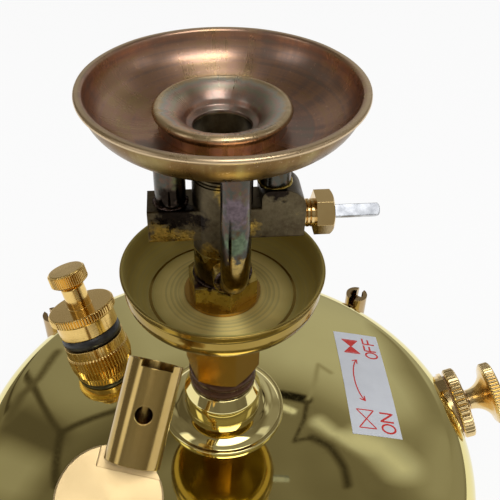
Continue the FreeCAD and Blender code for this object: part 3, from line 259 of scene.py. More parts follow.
GOLDEN = (0.84, 0.60, 0.27)
FILLER_BRASS = turned_brass("filler_turned_brass", FILLER, (0.84, 0.58, 0.20), 0.13, satin=0.4)
PUMP_BRASS = turned_brass("pump_turned_brass", PUMP, (0.84, 0.64, 0.32), 0.19)
NECK_BRASS = turned_brass("neck_turned_brass", STOVE, (0.78, 0.56, 0.25), 0.12,
                          edge=0.25, satin=0.2)
TUBE_BRASS = turned_brass("torch_tube_brass", TORCH, (0.54, 0.38, 0.135), 0.14,
                          0.25, 0.003, 0.25, 0.4)
DRUM_BRASS = turned_brass("torch_drum_brass", DRUM, (0.64, 0.48, 0.25), 0.38,
                          0.4, 0.02, 0.25, 0.8, 0.1)
RISER_BRASS = turned_brass("riser_neck_brass", STOVE, (0.50, 0.30, 0.08), 0.12,
                           edge=0.25, satin=0.2)
VALVE_BRASS = turned_brass("torch_valve_brass", VALVE, GOLDEN, edge=0.2)
SOCKET_BRASS = turned_brass("socket_brass", STOVE, (0.48, 0.34, 0.17), 0.16, edge=0.3, satin=0.2)
print("turned finishes made")

# %% Spun brass for the cup: satin rings inside, nearly polished outside
# The floor's bright colour is a painted highlight; the darker wall colour and the dark grooves are
# painted shade.
CUP_SATIN = turned_brass("cup_satin_brass", STOVE, (0.96, 0.80, 0.31), 0.46, 0.8, 0.05,
                         satin=0.95, groove_shade_share=0.4, wall=(0.52, 0.41, 0.11))
CUP_SATIN.node_tree.nodes["Principled BSDF"].inputs["Metallic"].default_value = 0.86
# The outside's dark colour is painted shade, a darker reflection put into the brass.
CUP_SHINE = turned_brass("cup_polished_brass", STOVE, (0.36, 0.25, 0.06), 0.14, 1.4, 0.02,
                         satin=0.35)
print("cup finishes made")

# %% [markdown]
# ## Brass that has been through the fire
# Before it is sold each burner is silver soldered and test fired. The heat leaves oxide films in
# straw, rose, violet and blue, which follow the rings of the bowl and streak outward. Thick
# parts go olive and brown and lose their shine. The tints come from colour ramps driven by
# radius, height and noise.


# %% Heat tints on the bowl and the flame ring
# Radii and heights in millimetres between which a tint comes in.
RIM_R, RIM_H = (40.2, 41.2), (229.6, 231.2)
RING_R, RING_H, RING_FILM_R = (21.2, 20.6), (222, 225), (12, 21)
BOWL_TINTS = [
    (0.0, (0.56, 0.42, 0.18)), (0.2, (0.52, 0.34, 0.19)),
    (0.38, (0.54, 0.33, 0.23)), (0.52, (0.40, 0.27, 0.22)),
    (0.68, (0.34, 0.29, 0.24)), (0.82, (0.38, 0.40, 0.24)),
    (1.0, (0.62, 0.46, 0.22)),
]
UNDERSIDE_TINTS = [
    (0.2, (0.13, 0.07, 0.025)), (0.5, (0.22, 0.13, 0.045)),
    (0.7, (0.34, 0.26, 0.10)), (0.9, (0.30, 0.32, 0.18)),
]
RING_TINTS = [
    (0.1, (0.80, 0.60, 0.56)), (0.3, (0.60, 0.74, 0.56)), (0.45, (0.88, 0.66, 0.56)),
    (0.6, (0.70, 0.74, 0.66)), (0.75, (0.90, 0.72, 0.44)), (0.92, (0.74, 0.57, 0.30)),
]


def tinted_brass(name):
    finish = Finish(name, (0.4, 0.27, 0.17), roughness=0.26)
    radius, height, outward = finish.about(*STOVE)
    streak_at = finish.arrows("MULTIPLY", finish.arrows("NORMALIZE", outward), (0.03, 0.03, 0.03))
    spokes = finish.cloud(5, 4, at=streak_at, contrast=(0.3, 0.7))
    drift = finish.cloud(26, 4, contrast=(0.25, 0.75))
    rings = finish.rings(radius, height, 1.6, 3.0)
    film = finish.weigh(drift, 0.55, spokes, 0.25)
    film = finish.plus(film, finish.between(rings, 0.3, 0.7, (-0.1, 0.16)), clamp=True)
    tints = finish.ramp(film, BOWL_TINTS)
    facing = finish.add("ShaderNodeTexCoord").outputs["Normal"]
    # Faces turned downward take darker tints.
    underside = finish.between(finish.arrows("DOT_PRODUCT", facing, tuple(UP)), 0.05, -0.2)
    downward_tints = finish.ramp(finish.weigh(drift, 0.7, spokes, 0.3), UNDERSIDE_TINTS)
    tints = finish.mix(underside, tints, downward_tints)
    rim = finish.times(finish.between(radius, *RIM_R), finish.between(height, *RIM_H))
    tints = finish.mix(finish.times(rim, 0.8), tints, (0.78, 0.60, 0.36))
    ring = finish.times(finish.between(radius, *RING_R), finish.between(height, *RING_H))
    ragged = finish.between(spokes, 0, 1, (-0.12, 0.12))
    ring_film = finish.ramp(finish.plus(finish.between(radius, *RING_FILM_R), ragged), RING_TINTS)
    tints = finish.mix(finish.times(ring, 0.75), tints, ring_film)
    specks = finish.cloud(0.9, 2, contrast=(0.66, 0.74))
    tints = finish.mix(finish.times(specks, 0.4), tints, (0.85, 0.62, 0.42))
    finish.colour(tints)
    finish.rough(finish.between(finish.plus(drift, spokes), 0.2, 1.8, (0.2, 0.42)))
    finish.groove_shine(UP, outward, 0.5)
    finish.relief(finish.plus(rings, finish.times(finish.cloud(0.7, 3), 0.35)), 0.035)
    return finish.material


BOWL_BRASS = tinted_brass("bowl_heat_tinted_brass")
print("made", BOWL_BRASS.name)


# %% Fired brass of the block, the base and the tubes
def ragged_patch(finish, centre, reach, soft=1.2, ragged=2.5):
    """1 inside a patch round a point in millimetres, with an edge torn by noise."""
    offset = finish.arrows("SUBTRACT", finish.place, tuple(Vector(centre) * MM))
    distance = finish.times(finish.arrows("LENGTH", offset), 1 / MM)
    torn = finish.less(finish.cloud(ragged, 5, contrast=(0.2, 0.8)), 0.5)
    distance = finish.plus(distance, finish.times(torn, reach * 1.5))
    return finish.between(distance, reach + soft, reach - soft)


def fired_brass(name, stops, spots=6.0, roughness=(0.28, 0.55), grain=0.06, edge=0.3,
                stretch=None, patches=()):
    """Mottled brass; patches of (centre, reach, colour) lay gilt flux, tints or soot over it."""
    finish = Finish(name, stops[0][1])
    patch = finish.cloud(spots, 5, stretch=stretch, contrast=(0.25, 0.75))
    small = finish.cloud(spots / 5, 4, contrast=(0.3, 0.7))
    level = finish.weigh(patch, 0.75, small, 0.25)
    tints = finish.ramp(level, stops)
    shine = finish.between(level, 0.1, 0.9, roughness)
    for centre, reach, colour in patches:
        share = ragged_patch(finish, centre, reach)
        tints = finish.mix(share, tints, finish.mix(small, [c * 0.45 for c in colour], colour))
        shine = finish.plus(shine, finish.times(share, -0.14))
    finish.colour(tints)
    finish.rough(shine)
    finish.relief(finish.cloud(0.8, 4, contrast=(0.2, 0.8)), grain, edge)
    return finish.material


GILT, SOOT = (0.62, 0.40, 0.08), (0.02, 0.014, 0.01)
BLOCK_STOPS = [
    (0.0, (0.030, 0.019, 0.011)), (0.3, (0.075, 0.055, 0.03)),
    (0.55, (0.115, 0.09, 0.05)), (0.78, (0.15, 0.12, 0.068)),
    (1.0, (0.30, 0.22, 0.09)),
]
BLOCK_BRASS = fired_brass("block_fired_brass", BLOCK_STOPS, patches=[
    ((-19, -8, 182), 5.0, GILT), ((-12.5, -7.5, 180.5), 3.2, GILT), ((-15, -7, 191), 6.0, SOOT),
    ((-4.5, -9, 175), 3.6, GILT), ((9.5, -7.5, 184), 3.0, GILT), ((17, -5, 199), 4.5, SOOT),
    ((-7, -7, 188), 3.0, SOOT), ((2, -9.5, 199), 3.5, GILT),
])
TUBE_STOPS = [
    (0.0, (0.03, 0.022, 0.012)), (0.25, (0.08, 0.052, 0.027)),
    (0.45, (0.07, 0.073, 0.06)), (0.62, (0.11, 0.07, 0.05)),
    (0.8, (0.095, 0.10, 0.05)), (1.0, (0.20, 0.14, 0.05)),
]
VAPOUR_TUBE = fired_brass(
    "vapour_tube_tinted_brass", TUBE_STOPS, 7, (0.17, 0.3), 0.004, None, (1, 1, 0.4),
    [
        ((4.5, -20.5, 175), 8.0, (0.46, 0.32, 0.10)), ((4.5, -20.5, 189), 4.0, (0.13, 0.17, 0.10)),
        ((4.5, -20.5, 201), 4.5, (0.16, 0.12, 0.13)), ((-16.7, -6, 196), 3.5, SOOT),
    ],
)
BASE_STOPS = [
    (0.0, (0.09, 0.045, 0.018)), (0.3, (0.42, 0.30, 0.07)),
    (0.6, (0.58, 0.44, 0.12)), (1.0, (0.68, 0.54, 0.19)),
]
BASE_BRASS = fired_brass("base_scorched_brass", BASE_STOPS, 9, (0.14, 0.4), 0.05, patches=[
    ((0, 0, 170), 9.6, (0.10, 0.075, 0.04)), ((-6, -8, 166), 5.5, (0.12, 0.085, 0.045)),
    ((7, -7, 163), 3.0, SOOT), ((0, -11, 162), 2.2, SOOT),
    ((-8, -7, 161.5), 3.0, (0.09, 0.05, 0.05)), ((-3, -9.5, 171), 3.0, GILT),
])
print("fired finishes made")

# %% [markdown]
# ## The other materials
# The spindle is bright steel with a fine grind along its length. The filler seal is black
# rubber, the riser seal a dark brown one. The pump's cup washer is oiled leather, and the label
# is a matt printed film. Solder is a lumpy, glassy black with silver and brown in it.


# %% Steel, rubber, leather, film and solder
def plain_finish(name, colour, other, roughness, spots, grain, edge=None, metallic=0.0):
    finish = Finish(name, colour, metallic)
    patch = finish.cloud(spots, 4)
    finish.colour(finish.mix(patch, colour, other))
    finish.rough(finish.between(patch, 0, 1, roughness))
    finish.relief(finish.cloud(spots / 4, 3, contrast=(0.2, 0.8)), grain, edge)
    return finish.material


STEEL = plain_finish("ground_steel", (0.38, 0.39, 0.41), (0.27, 0.28, 0.30), (0.14, 0.24),
                     3, 0.0008, 0.15, 1.0)
RUBBER = plain_finish("black_rubber", (0.012, 0.012, 0.013), (0.03, 0.029, 0.028), (0.3, 0.5),
                      4, 0.03)
SEAL = plain_finish("brown_seal", (0.03, 0.014, 0.008), (0.06, 0.028, 0.014), (0.12, 0.3), 5, 0.06)
SEAL.node_tree.nodes["Principled BSDF"].inputs["Specular Tint"].default_value = (0.9, 0.5, 0.3, 1)
LEATHER = plain_finish("oiled_leather", (0.09, 0.045, 0.02), (0.14, 0.07, 0.03), (0.4, 0.6),
                       2, 0.08)
FILM = plain_finish("label_film", (0.60, 0.62, 0.66), (0.56, 0.58, 0.62), (0.38, 0.5), 9, 0.004)
FIBRE = plain_finish("pressed_fibre", (0.42, 0.27, 0.11), (0.34, 0.21, 0.08), (0.4, 0.55), 3, 0.03)
RED_INK = plain_finish("red_ink", (0.62, 0.03, 0.02), (0.52, 0.025, 0.02), (0.4, 0.5), 2, 0.002)
SOLDER = fired_brass("silver_solder_crust", [
    (0.0, (0.012, 0.009, 0.008)), (0.4, (0.05, 0.034, 0.026)),
    (0.62, (0.16, 0.11, 0.10)), (0.8, (0.34, 0.28, 0.26)),
    (1.0, (0.5, 0.42, 0.36)),
], 1.6, (0.1, 0.4), 0.12, None)
print("materials so far:", len(bpy.data.materials))

# %% [markdown]
# ## Putting the finishes on the engineering pieces
# Many pieces keep their engineering shape, such as the cross bar, the tubes and the hexagons.
# They only need a finish in their material slot. The table names the pieces for each finish, and
# any piece that isn't in it gets the brass of the sockets.

# %% Finishes for the pieces that keep their shape
dressed = [
    (TANK_BRASS, "tank_lower_shell base_ring"),
    (RISER_BRASS, "riser_neck cup_washer"),
    (BASE_BRASS, "burner_base"),
    (BLOCK_BRASS, "burner_block bar_plug vapour_ring nozzle_carrier"),
    (VAPOUR_TUBE, "rising_tube_front rising_tube_rear falling_tube_left falling_tube_right"),
    (NECK_BRASS, "nozzle gland_nut pickup_tube pickup_strainer"),
    (STEEL, "cleaning_needle regulator_spindle pump_rod check_valve_spring"),
    (RUBBER, "gland_packing check_valve_pip release_pip"),
    (PUMP_BRASS, "piston_washer piston_nut pump_barrel pump_collar check_valve_body"),
    (LEATHER, "pump_leather"), (FIBRE, "pump_gasket"), (FILM, "label"),
    (TUBE_BRASS, "torch_tube torch_jet"), (DRUM_BRASS, "torch_drum"),
    (VALVE_BRASS, "torch_gland torch_spindle torch_stem torch_foot"),
]
finish_of = {name: finish for finish, names in dressed for name in names.split()}
for name in nodes:
    finish = finish_of.get(name, SOCKET_BRASS)
    nodes[name].data.materials.clear()
    nodes[name].data.materials.append(finish)
print("finished", len(finish_of), "engineering pieces by name")

# %% [markdown]
# ## Turning a piece on the lathe
# A lathe piece is an outline of radius and height carried round an axis. The engineering mesh
# has small flats that a mirror finish would show, so the big shiny pieces are turned again in
# hundreds of steps. Real corners are never knife sharp: each one is rounded by a few tenths of a
# millimetre, with a supporting point close by to keep the flats flat.


# %% Outline to points
def arc_points(start, middle, end, step=1.0):
    """Points on the arc through three points, the first one left out."""
    (ax, ay), (bx, by), (cx, cy) = start, middle, end
    twice = 2 * (ax * (by - cy) + bx * (cy - ay) + cx * (ay - by))
    sa, sb, sc = ax * ax + ay * ay, bx * bx + by * by, cx * cx + cy * cy
    mx = (sa * (by - cy) + sb * (cy - ay) + sc * (ay - by)) / twice
    my = (sa * (cx - bx) + sb * (ax - cx) + sc * (bx - ax)) / twice
    radius = hypot(ax - mx, ay - my)
    turn_a = atan2(ay - my, ax - mx)
    turn_c = atan2(cy - my, cx - mx)
    side = (bx - ax) * (cy - ay) - (by - ay) * (cx - ax)
    sweep = (turn_c - turn_a) % (2 * pi)
    if side < 0:
        sweep -= 2 * pi
    count = max(5, int(abs(sweep) * radius / step))
    turns = [turn_a + sweep * i / count for i in range(1, count + 1)]
    return [(mx + radius * cos(t), my + radius * sin(t)) for t in turns]


def walk(outline, step=1.0):
    """Points along a closed outline: a pair is a corner, four numbers an arc's middle and end."""
    points = [outline[0]]
    for item in outline[1:]:
        if len(item) == 4:
            points += arc_points(points[-1], item[:2], item[2:], step)
        else:
            points.append(item)
    return points


TINY = 1e-6
BEND_FROM = radians(17)  # a smaller bend belongs to an arc and stays as it is
BEND_STEPS = 4
SUPPORT = 0.12  # from a rounded corner to its supporting point, in millimetres


def soften(points, size, run=4.0):
    """Rounds the corners of a closed outline and divides its long runs."""
    smooth = []
    ring = [Vector(p) for p in points]
    for i, here in enumerate(ring):
        back, ahead = ring[i - 1] - here, ring[(i + 1) % len(ring)] - here
        if back.length < TINY or ahead.length < TINY:
            continue
        bend = pi - back.angle(ahead)
        if bend > BEND_FROM and here.x >= TINY:
            cut = min(size, 0.4 * back.length, 0.4 * ahead.length)
            hold = min(SUPPORT, 0.05 * back.length, 0.05 * ahead.length)
            start, end = here + back.normalized() * cut, here + ahead.normalized() * cut
            smooth.append(start + back.normalized() * hold)
            for k in range(BEND_STEPS + 1):
                t = k / BEND_STEPS
                smooth.append(start * (1 - t) ** 2 + here * 2 * t * (1 - t) + end * t * t)
            smooth.append(end + ahead.normalized() * hold)
        else:
            smooth.append(here)
    closed = []
    for i, here in enumerate(smooth):
        closed.append((here.x, here.y))
        ahead = smooth[(i + 1) % len(smooth)]
        pieces = int((ahead - here).length / run)
        for k in range(1, pieces):
            between = here.lerp(ahead, k / pieces)
            closed.append((between.x, between.y))
    return closed


square = [(5, 0), (15, 0), (15, 10), (5, 10)]
print("a square of 10 mm softens to", len(soften(square, 0.3)), "points")


# %% The lathe itself
def stand_on(origin, axis, side=Vector((1, 0, 0))):
    """Matrix from the lathe's own frame to the stove's, in metres."""
    z = axis.normalized()
    x = (side - z * side.dot(z)).normalized()
    turn = Matrix((x, z.cross(x), z)).transposed().to_4x4()
    return Matrix.Translation(origin * MM) @ turn


def mesh_object(name, mesh, *materials):
    """Makes an object of the scene from a bmesh."""
    data = bpy.data.meshes.new(name)
    mesh.to_mesh(data)
    mesh.free()
    for item in materials:
        data.materials.append(item)
    thing = bpy.data.objects.new(name, data)
    scene.collection.objects.link(thing)
    return thing


def finish_mesh(name, mesh, material, body, stands_for=(), sharp=35):
    """Cleans a bmesh, makes it a smooth piece with a finish and lets it ride on a body."""
    bmesh.ops.remove_doubles(mesh, verts=mesh.verts, dist=1e-7)
    bmesh.ops.recalc_face_normals(mesh, faces=mesh.faces)
    materials = material if isinstance(material, list) else [material]
    piece = mesh_object(name, mesh, *materials)
    piece.data.shade_smooth()
    if sharp:
        piece.data.set_sharp_from_angle(angle=radians(sharp))
    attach(piece, body)
    if stands_for:
        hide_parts(*stands_for)
    return piece


def turns_of(count):
    return [2 * pi * i / count for i in range(count)]


def ring_quads(grid):
    """The four corners of each face of a grid of columns round an axis, with its two rows."""
    rows = len(grid[0])
    for here, there in zip(grid, grid[1:] + grid[:1]):
        for k in range(rows):
            after = (k + 1) % rows
            yield (here[k], there[k], there[after], here[after]), k, after


def lathe(name, outline, material, body, stands_for=(), at=STOVE, steps=240,
          corner=0.25, run=4.0, shape=None, paint=None, drop=None):
    """Turns a closed outline of (radius, height) in millimetres about an axis."""
    points = soften(walk(outline), corner, run)
    place = stand_on(*at)
    mesh = bmesh.new()
    grid = []
    for turn in turns_of(steps):
        column = []
        for radius, height in points:
            if shape:
                radius, height = shape(radius, height, turn)
            flat = Vector((radius * cos(turn), radius * sin(turn), height))
            column.append(mesh.verts.new(place @ (flat * MM)))
        grid.append(column)
    for corners, k, after in ring_quads(grid):
        low, high = points[k], points[after]
        if low[0] < TINY and high[0] < TINY:
            continue
        face = mesh.faces.new(corners)
        if paint:
            face.material_index = paint(low, high)
        if drop and drop(face.calc_center_median() / MM):
            mesh.faces.remove(face)
    return finish_mesh(name, mesh, material, body, stands_for)


print("the lathe is ready")

# %% [markdown]
# ## The tank
# The tank is two drawn brass shells. The upper one carries everything, so its mesh leaves out
# the faces under the filler neck and the pump collar, where the real shell is pierced. The
# ragged edge of those holes is hidden under the flanges.

# %% Upper and lower shell
TANK_R, SHOULDER_R, SHOULDER_Z, TOP_Z, WALL = 108.5, 18.0, 56.0, 87.0, 0.9
SHOULDER_AT = (TANK_R - SHOULDER_R, SHOULDER_Z)
CROWN_R, CROWN_AT = 385.514, (-11.6, -297.047)
LAND_R, SEAM_Z = 12.0, 30.0
LAND_TURN = radians(85)
FILLER_HOLE_R, PUMP_HOLE_R = 12.3, 12.8
HOLE_SIDE = 60  # an axis meets the shell twice; the hole is on this side of it


def off_axis(point, origin, axis):
    offset = point - origin
    return (offset - axis * offset.dot(axis)).length


def arc(centre, radius, start, end, count):
    turns = [start + (end - start) * i / count for i in range(count + 1)]
    return [(centre[0] + radius * cos(t), centre[1] + radius * sin(t)) for t in turns]


def crown_profile(grow):
    """Crown and shoulder from the flat land on top out to the straight wall."""
    blend = atan2(SHOULDER_Z - CROWN_AT[1], SHOULDER_AT[0] - CROWN_AT[0])
    crown = arc(CROWN_AT, CROWN_R + grow, LAND_TURN, blend, 60)
    return crown + arc(SHOULDER_AT, SHOULDER_R + grow, blend, 0, 32)[1:]


def pierced(point):
    in_filler = off_axis(point, *FILLER) < FILLER_HOLE_R and point.z > HOLE_SIDE
    in_pump = off_axis(point, *PUMP) < PUMP_HOLE_R and point.x > HOLE_SIDE
    return in_filler or in_pump


upper = [(LAND_R, TOP_Z)] + crown_profile(0) + [(TANK_R, SEAM_Z), (TANK_R - WALL, SEAM_Z)]
upper += crown_profile(-WALL)[::-1] + [(LAND_R, TOP_Z - WALL)]
lathe("tank_crown", upper, TANK_BRASS, "stove", ["tank_upper_shell"], steps=360, run=1.6,
      drop=pierced)
lower = [
    (0, 8.5), (35.0, 7.375, 70.0, 4.0), (88.5, 4.0), (102.64, 9.86, 108.5, 24.0), (108.5, 29.1),
    (107.6, 30.0), (107.6, 39.0), (106.7, 39.0), (106.7, 29.1), (107.6, 28.2), (107.6, 24.0),
    (102.0, 10.5, 88.5, 4.9), (70.0, 4.9), (35.0, 8.275, 0, 9.4),
]
lathe("tank_pan", lower, TANK_BRASS, "stove", ["tank_lower_shell"], steps=240, run=3.0)
print("tank radius", TANK_R, "mm")

# %% [markdown]
# ## Riser boss, its seal and the spirit cup
# The boss is turned, flares onto the crown and is buffed with the tank. Two lobes of a dark seal
# bulge out under the hexagonal neck. The spirit cup is spun: a rolled bead at the rim, a bulged
# side and a flat floor, satin with fine rings inside and polished outside.

# %% Boss, seal and cup
lathe("riser_flare", [
    (7.0, 84.0), (25.3, 84.0), (25.3, 87.8), (25.1, 88.4, 24.4, 88.6), (23.7, 88.6),
    (20.5, 90.9, 15.7, 92.0), (15.3, 92.0), (15.3, 100.2), (12.8, 104.8), (7.0, 104.8),
], BOSS_BRASS, "stove", ["riser_boss"], corner=0.5, run=1.0)


SEAL_BULGE_FROM_R = 9


def pressed(radius, height, turn):
    """The seal bulges unevenly where the neck bites on it."""
    if radius > SEAL_BULGE_FROM_R:
        spot = Vector((cos(turn) * 1.6, sin(turn) * 1.6, height * 0.3))
        radius += 0.25 * noise.noise(spot)
    return radius, height


lathe("riser_seal", [
    (7.0, 104.8), (12.1, 104.8), (13.2, 106.975, 12.1, 109.15), (13.2, 111.325, 12.1, 113.5),
    (7.0, 113.5),
], SEAL, "stove", ["riser_gasket"], shape=pressed, run=0.5)


CUP_FLOOR_R, CUP_UNDERSIDE_Z = 25, 150.4


def cup_side(low, high):
    """Slot 1 for the outside of the cup, where the outline climbs, and for its underside."""
    middle_r, middle_z = (low[0] + high[0]) / 2, (low[1] + high[1]) / 2
    climbs = high[1] - low[1] > 0.02 and middle_r > CUP_FLOOR_R
    return 1 if climbs or middle_z < CUP_UNDERSIDE_Z else 0


lathe("spirit_bowl", [
    (7.0, 150.0), (26.5, 150.0), (32.6, 152.5, 34.8, 158.0), (34.6, 160.3), (34.1, 160.75),
    (34.9, 161.2), (35.2, 163.5), (35.7, 164.05, 35.2, 164.4), (34.6, 164.4), (34.1, 163.2),
    (33.7, 158.2), (31.6, 153.5, 25.4, 151.5), (7.0, 151.5),
], [CUP_SATIN, CUP_SHINE], "stove", ["spirit_cup"], corner=0.2, run=0.8, paint=cup_side)
print("cup rim 71.4 mm across")

# %% [markdown]
# ## Bowl and flame ring
# The burner's bowl and the flame ring in its middle are turned again too, because their heat
# tints sit on a smooth sheen. The rim is slightly uneven after spinning, a tenth of a millimetre
# or so, which breaks up the light along it.


# %% Burner bowl and flame ring
BOWL_WAVE_FROM_R = 24


def hand_spun(radius, height, turn):
    """A slow wave in the sheet, as a spun and fired bowl has."""
    wave = noise.noise(Vector((cos(turn) * 1.3, sin(turn) * 1.3, radius * 0.05)))
    return radius - 0.12 * abs(wave), height - 0.1 * abs(wave) * (radius > BOWL_WAVE_FROM_R)


lathe("fire_bowl", [
    (19.0, 217.3), (19.0, 218.5), (22.0, 218.5), (31.0, 220.2, 36.8, 224.0),
    (38.8, 227.0, 39.8, 231.2), (40.2, 231.8, 40.9, 232.0), (41.9, 232.0),
    (42.5, 231.3, 42.3, 230.6), (41.6, 230.2), (41.0, 230.0), (39.9, 226.3, 37.7, 223.2),
    (31.6, 219.0, 22.0, 217.3),
], BOWL_BRASS, "stove", ["burner_bowl"], corner=0.2, run=1.0, shape=hand_spun)
lathe("fire_ring", [
    (8.9, 217.3), (8.9, 218.6), (10.9, 219.4), (11.5, 221.0), (14.6, 223.6, 18.4, 224.9),
    (20.6, 224.5, 20.8, 223.5), (19.8, 222.9), (19.0, 221.7), (19.0, 217.3), (17.7, 217.3),
    (17.7, 221.6), (14.4, 221.2), (12.6, 219.1), (12.3, 217.3),
], BOWL_BRASS, "stove", ["flame_ring"], corner=0.35, run=1.0)
print("bowl rim 85 mm across")


# %% [markdown]
# ## Knurled pieces
# A straight knurl is a row of rolled V grooves. The lathe makes it by taking, at each turn of
# the grid, the smaller of the outline's radius and the radius of the tooth there. Chamfered ends
# come out scalloped by themselves, as they do on the real knob.


# %% A knurl for the lathe
def knurl(tip, depth, count):
    """Shape function for the lathe: V grooves cut into whatever reaches the tip radius."""
    def cut(radius, height, turn):
        phase = (turn * count / (2 * pi)) % 1.0
        tooth = 1 - abs(2 * phase - 1)
        return min(radius, tip - depth * (1 - min(1.0, tooth * 1.25))), height
    return cut


lathe("filler_collar", [
    (8.5, -4.6), (14.5, -4.6), (14.5, 3.5), (13.9, 4.2), (13.8, 4.3), (13.8, 8.9), (8.5, 8.9),
], FILLER_BRASS, "stove", ["filler_neck"], FILLER, 60 * 8, 0.2, 0.6, knurl(14.5, 0.9, 60))
lathe("filler_seal", [
    (9.1, 8.9), (12.4, 8.9), (13.7, 11.4, 12.8, 13.9), (11.6, 14.5), (9.1, 14.5),
], RUBBER, "filler_cap", ["filler_gasket"], FILLER, 200, 0.3, 0.5)
lathe("filler_lid", [
    (1.6, 2.0), (7.82, 2.0), (8.42, 2.6), (8.42, 14.5), (13.5, 14.5), (13.5, 21.2), (13.9, 21.5),
    (15.2, 22.2), (15.2, 25.2), (14.5, 25.9), (5.3, 25.9), (5.3, 35.8), (4.7, 36.4), (2.96, 36.4),
    (2.96, 10.1), (1.6, 8.9),
], FILLER_BRASS, "filler_cap", ["filler_cap"], FILLER, 72 * 8, 0.2, 0.6, knurl(15.2, 0.8, 72))
lathe("vent_screw", [
    (0, 12.9), (2.9, 12.9), (2.9, 37.6), (7.2, 37.6), (8.5, 38.6), (8.5, 43.4), (7.6, 44.3),
    (0, 44.3),
], FILLER_BRASS, "release_screw", ["release_screw"], FILLER, 56 * 8, 0.2, 0.6, knurl(8.5, 0.6, 56))
print("filler group turned")

# %% Pump cap, pump knob and torch knob
lathe("pump_lid", [
    (3.26, -7.0), (10.2, -7.0), (10.2, 0), (15.3, 0), (16.2, 0.8), (16.2, 4.4), (15.3, 5.2),
    (6.3, 5.2), (5.7, 6.6), (3.26, 6.6),
], PUMP_BRASS, "stove", ["pump_cap"], PUMP, 40 * 9, 0.25, 0.5, knurl(16.2, 0.85, 40))
lathe("pump_handle", [
    (3.2, 7.1), (4.6, 7.1), (6.4, 12.6, 12.4, 15.9), (13.5, 16.6), (14.2, 17.3), (14.2, 20.6),
    (13.5, 21.3), (6.6, 22.1, 0, 22.4), (0, 14.0), (3.2, 14.0),
], PUMP_BRASS, "pump_rod", ["pump_knob"], PUMP, 56 * 8, 0.2, 0.5, knurl(14.2, 0.6, 56))
lathe("torch_wheel", [
    (2.4, 24.0), (4.5, 24.0), (8.4, 25.2), (9.0, 25.7), (9.0, 29.2), (8.2, 30.0), (0, 30.0),
    (0, 29.0), (2.4, 29.0),
], VALVE_BRASS, "torch_valve", ["torch_knob"], VALVE, 40 * 8, 0.2, 0.5, knurl(9.0, 0.5, 40))
print("pump and torch knobs turned")

# %% [markdown]
# ## Silver solder and crust
# Where the tubes enter the block and the base, the solder has run into a lumpy ring and the
# flux has burnt to a dark crust. Each ring is a thin torus whose surface is pushed about by
# noise, fine and coarse, so no two lumps are alike.


# %% Lumpy rings of solder
def solder_ring(name, centre, axis, radius, thick, material, seed, lumps=0.45, steps=96):
    place = stand_on(centre, axis)
    mesh = bmesh.new()
    grid = []
    for turn in turns_of(steps):
        column = []
        for roll in turns_of(22):
            spot = Vector((3 * cos(turn), 3 * sin(turn), seed + roll * 0.5))
            size = thick * (1 + lumps * noise.fractal(spot, 1.0, 2.0, 4))
            reach, rise = radius + size * cos(roll), size * sin(roll) * 0.8
            flat = Vector((reach * cos(turn), reach * sin(turn), rise))
            column.append(mesh.verts.new(place @ (flat * MM)))
        grid.append(column)
    for corners, _, _ in ring_quads(grid):
        mesh.faces.new(corners)
    piece = finish_mesh(name, mesh, material, "stove", sharp=0)
    return piece


LEFT_FOOT = BAR_AXIS * -16.7 + Vector((0, 0, 191.7))
RIGHT_FOOT = BAR_AXIS * 16.7 + Vector((0, 0, 198.0))
RISE_TURN = radians(-76.5)
RISE_OUT = Vector((cos(RISE_TURN), sin(RISE_TURN), 0))
RISE_AT, ENTRY_Z = RISE_OUT * 12.3, Vector((0, 0, 167.4))
solder_ring("solder_left_foot", LEFT_FOOT, UP, 5.1, 0.75, SOLDER, 3.0)
solder_ring("solder_right_foot", RIGHT_FOOT, UP, 5.2, 0.45, BASE_BRASS, 8.0)
solder_ring("solder_front_entry", ENTRY_Z + RISE_AT, RISE_OUT, 4.9, 0.9, SOLDER, 15.0)
solder_ring("solder_rear_entry", ENTRY_Z - RISE_AT, RISE_OUT * -1, 4.9, 0.9, SOLDER, 21.0)
solder_ring("solder_pillar_foot", Vector((0, 0, 161.2)), UP, 9.9, 0.5, SOLDER, 27.0, steps=160)
print("solder rings laid")

# %% [markdown]
# ## The label
# A printed film lies on the crown and follows it. Its sheet is a fine grid lifted onto the
# curve. The print is a pair of plain words, ON and OFF, with a valve sign beside each and a
# double arrow between. The words read from the spindle's end of the stove, and each mark is a
# thin mesh a few hundredths of a millimetre above the film.


# %% Sheet of the label
UNDER_LIFT, FILM_LIFT, INK_LIFT = 0.02, 0.2, 0.23


def crown_top(x, y):
    """Height of the crown; the label ends well inside the shoulder."""
    return CROWN_AT[1] + sqrt(CROWN_R ** 2 - (hypot(x, y) - CROWN_AT[0]) ** 2)


def on_crown(x, y, lift):
    return Vector((x, y, crown_top(x, y) + lift)) * MM


def steps_between(span, count):
    return [span[0] + (span[1] - span[0]) * i / count for i in range(count + 1)]


def film_sheet(name, x_span, y_span, material):
    """A thin slab that follows the crown."""
    mesh = bmesh.new()
    across, along = 24, 64
    layers = []
    for lift in (UNDER_LIFT, FILM_LIFT):
        rows = [
            [mesh.verts.new(on_crown(x, y, lift)) for y in steps_between(y_span, along)]
            for x in steps_between(x_span, across)
        ]
        layers.append(rows)
    for rows in layers:
        for row, after in zip(rows, rows[1:]):
            for k in range(along):
                mesh.faces.new((row[k], after[k], after[k + 1], row[k + 1]))
    low, high = layers
    border = [(i, 0) for i in range(across)] + [(across, k) for k in range(along)]
    border += [(i, along) for i in range(across, 0, -1)] + [(0, k) for k in range(along, 0, -1)]
    for (a, b), (c, d) in zip(border, border[1:] + border[:1]):
        mesh.faces.new((low[a][b], low[c][d], high[c][d], high[a][b]))
    return finish_mesh(name, mesh, material, "stove", ["label"])


film_sheet("label_sheet", (53.4, 74.4), (-11.5, 50.0), FILM)
print("label 21 x 61.5 mm")


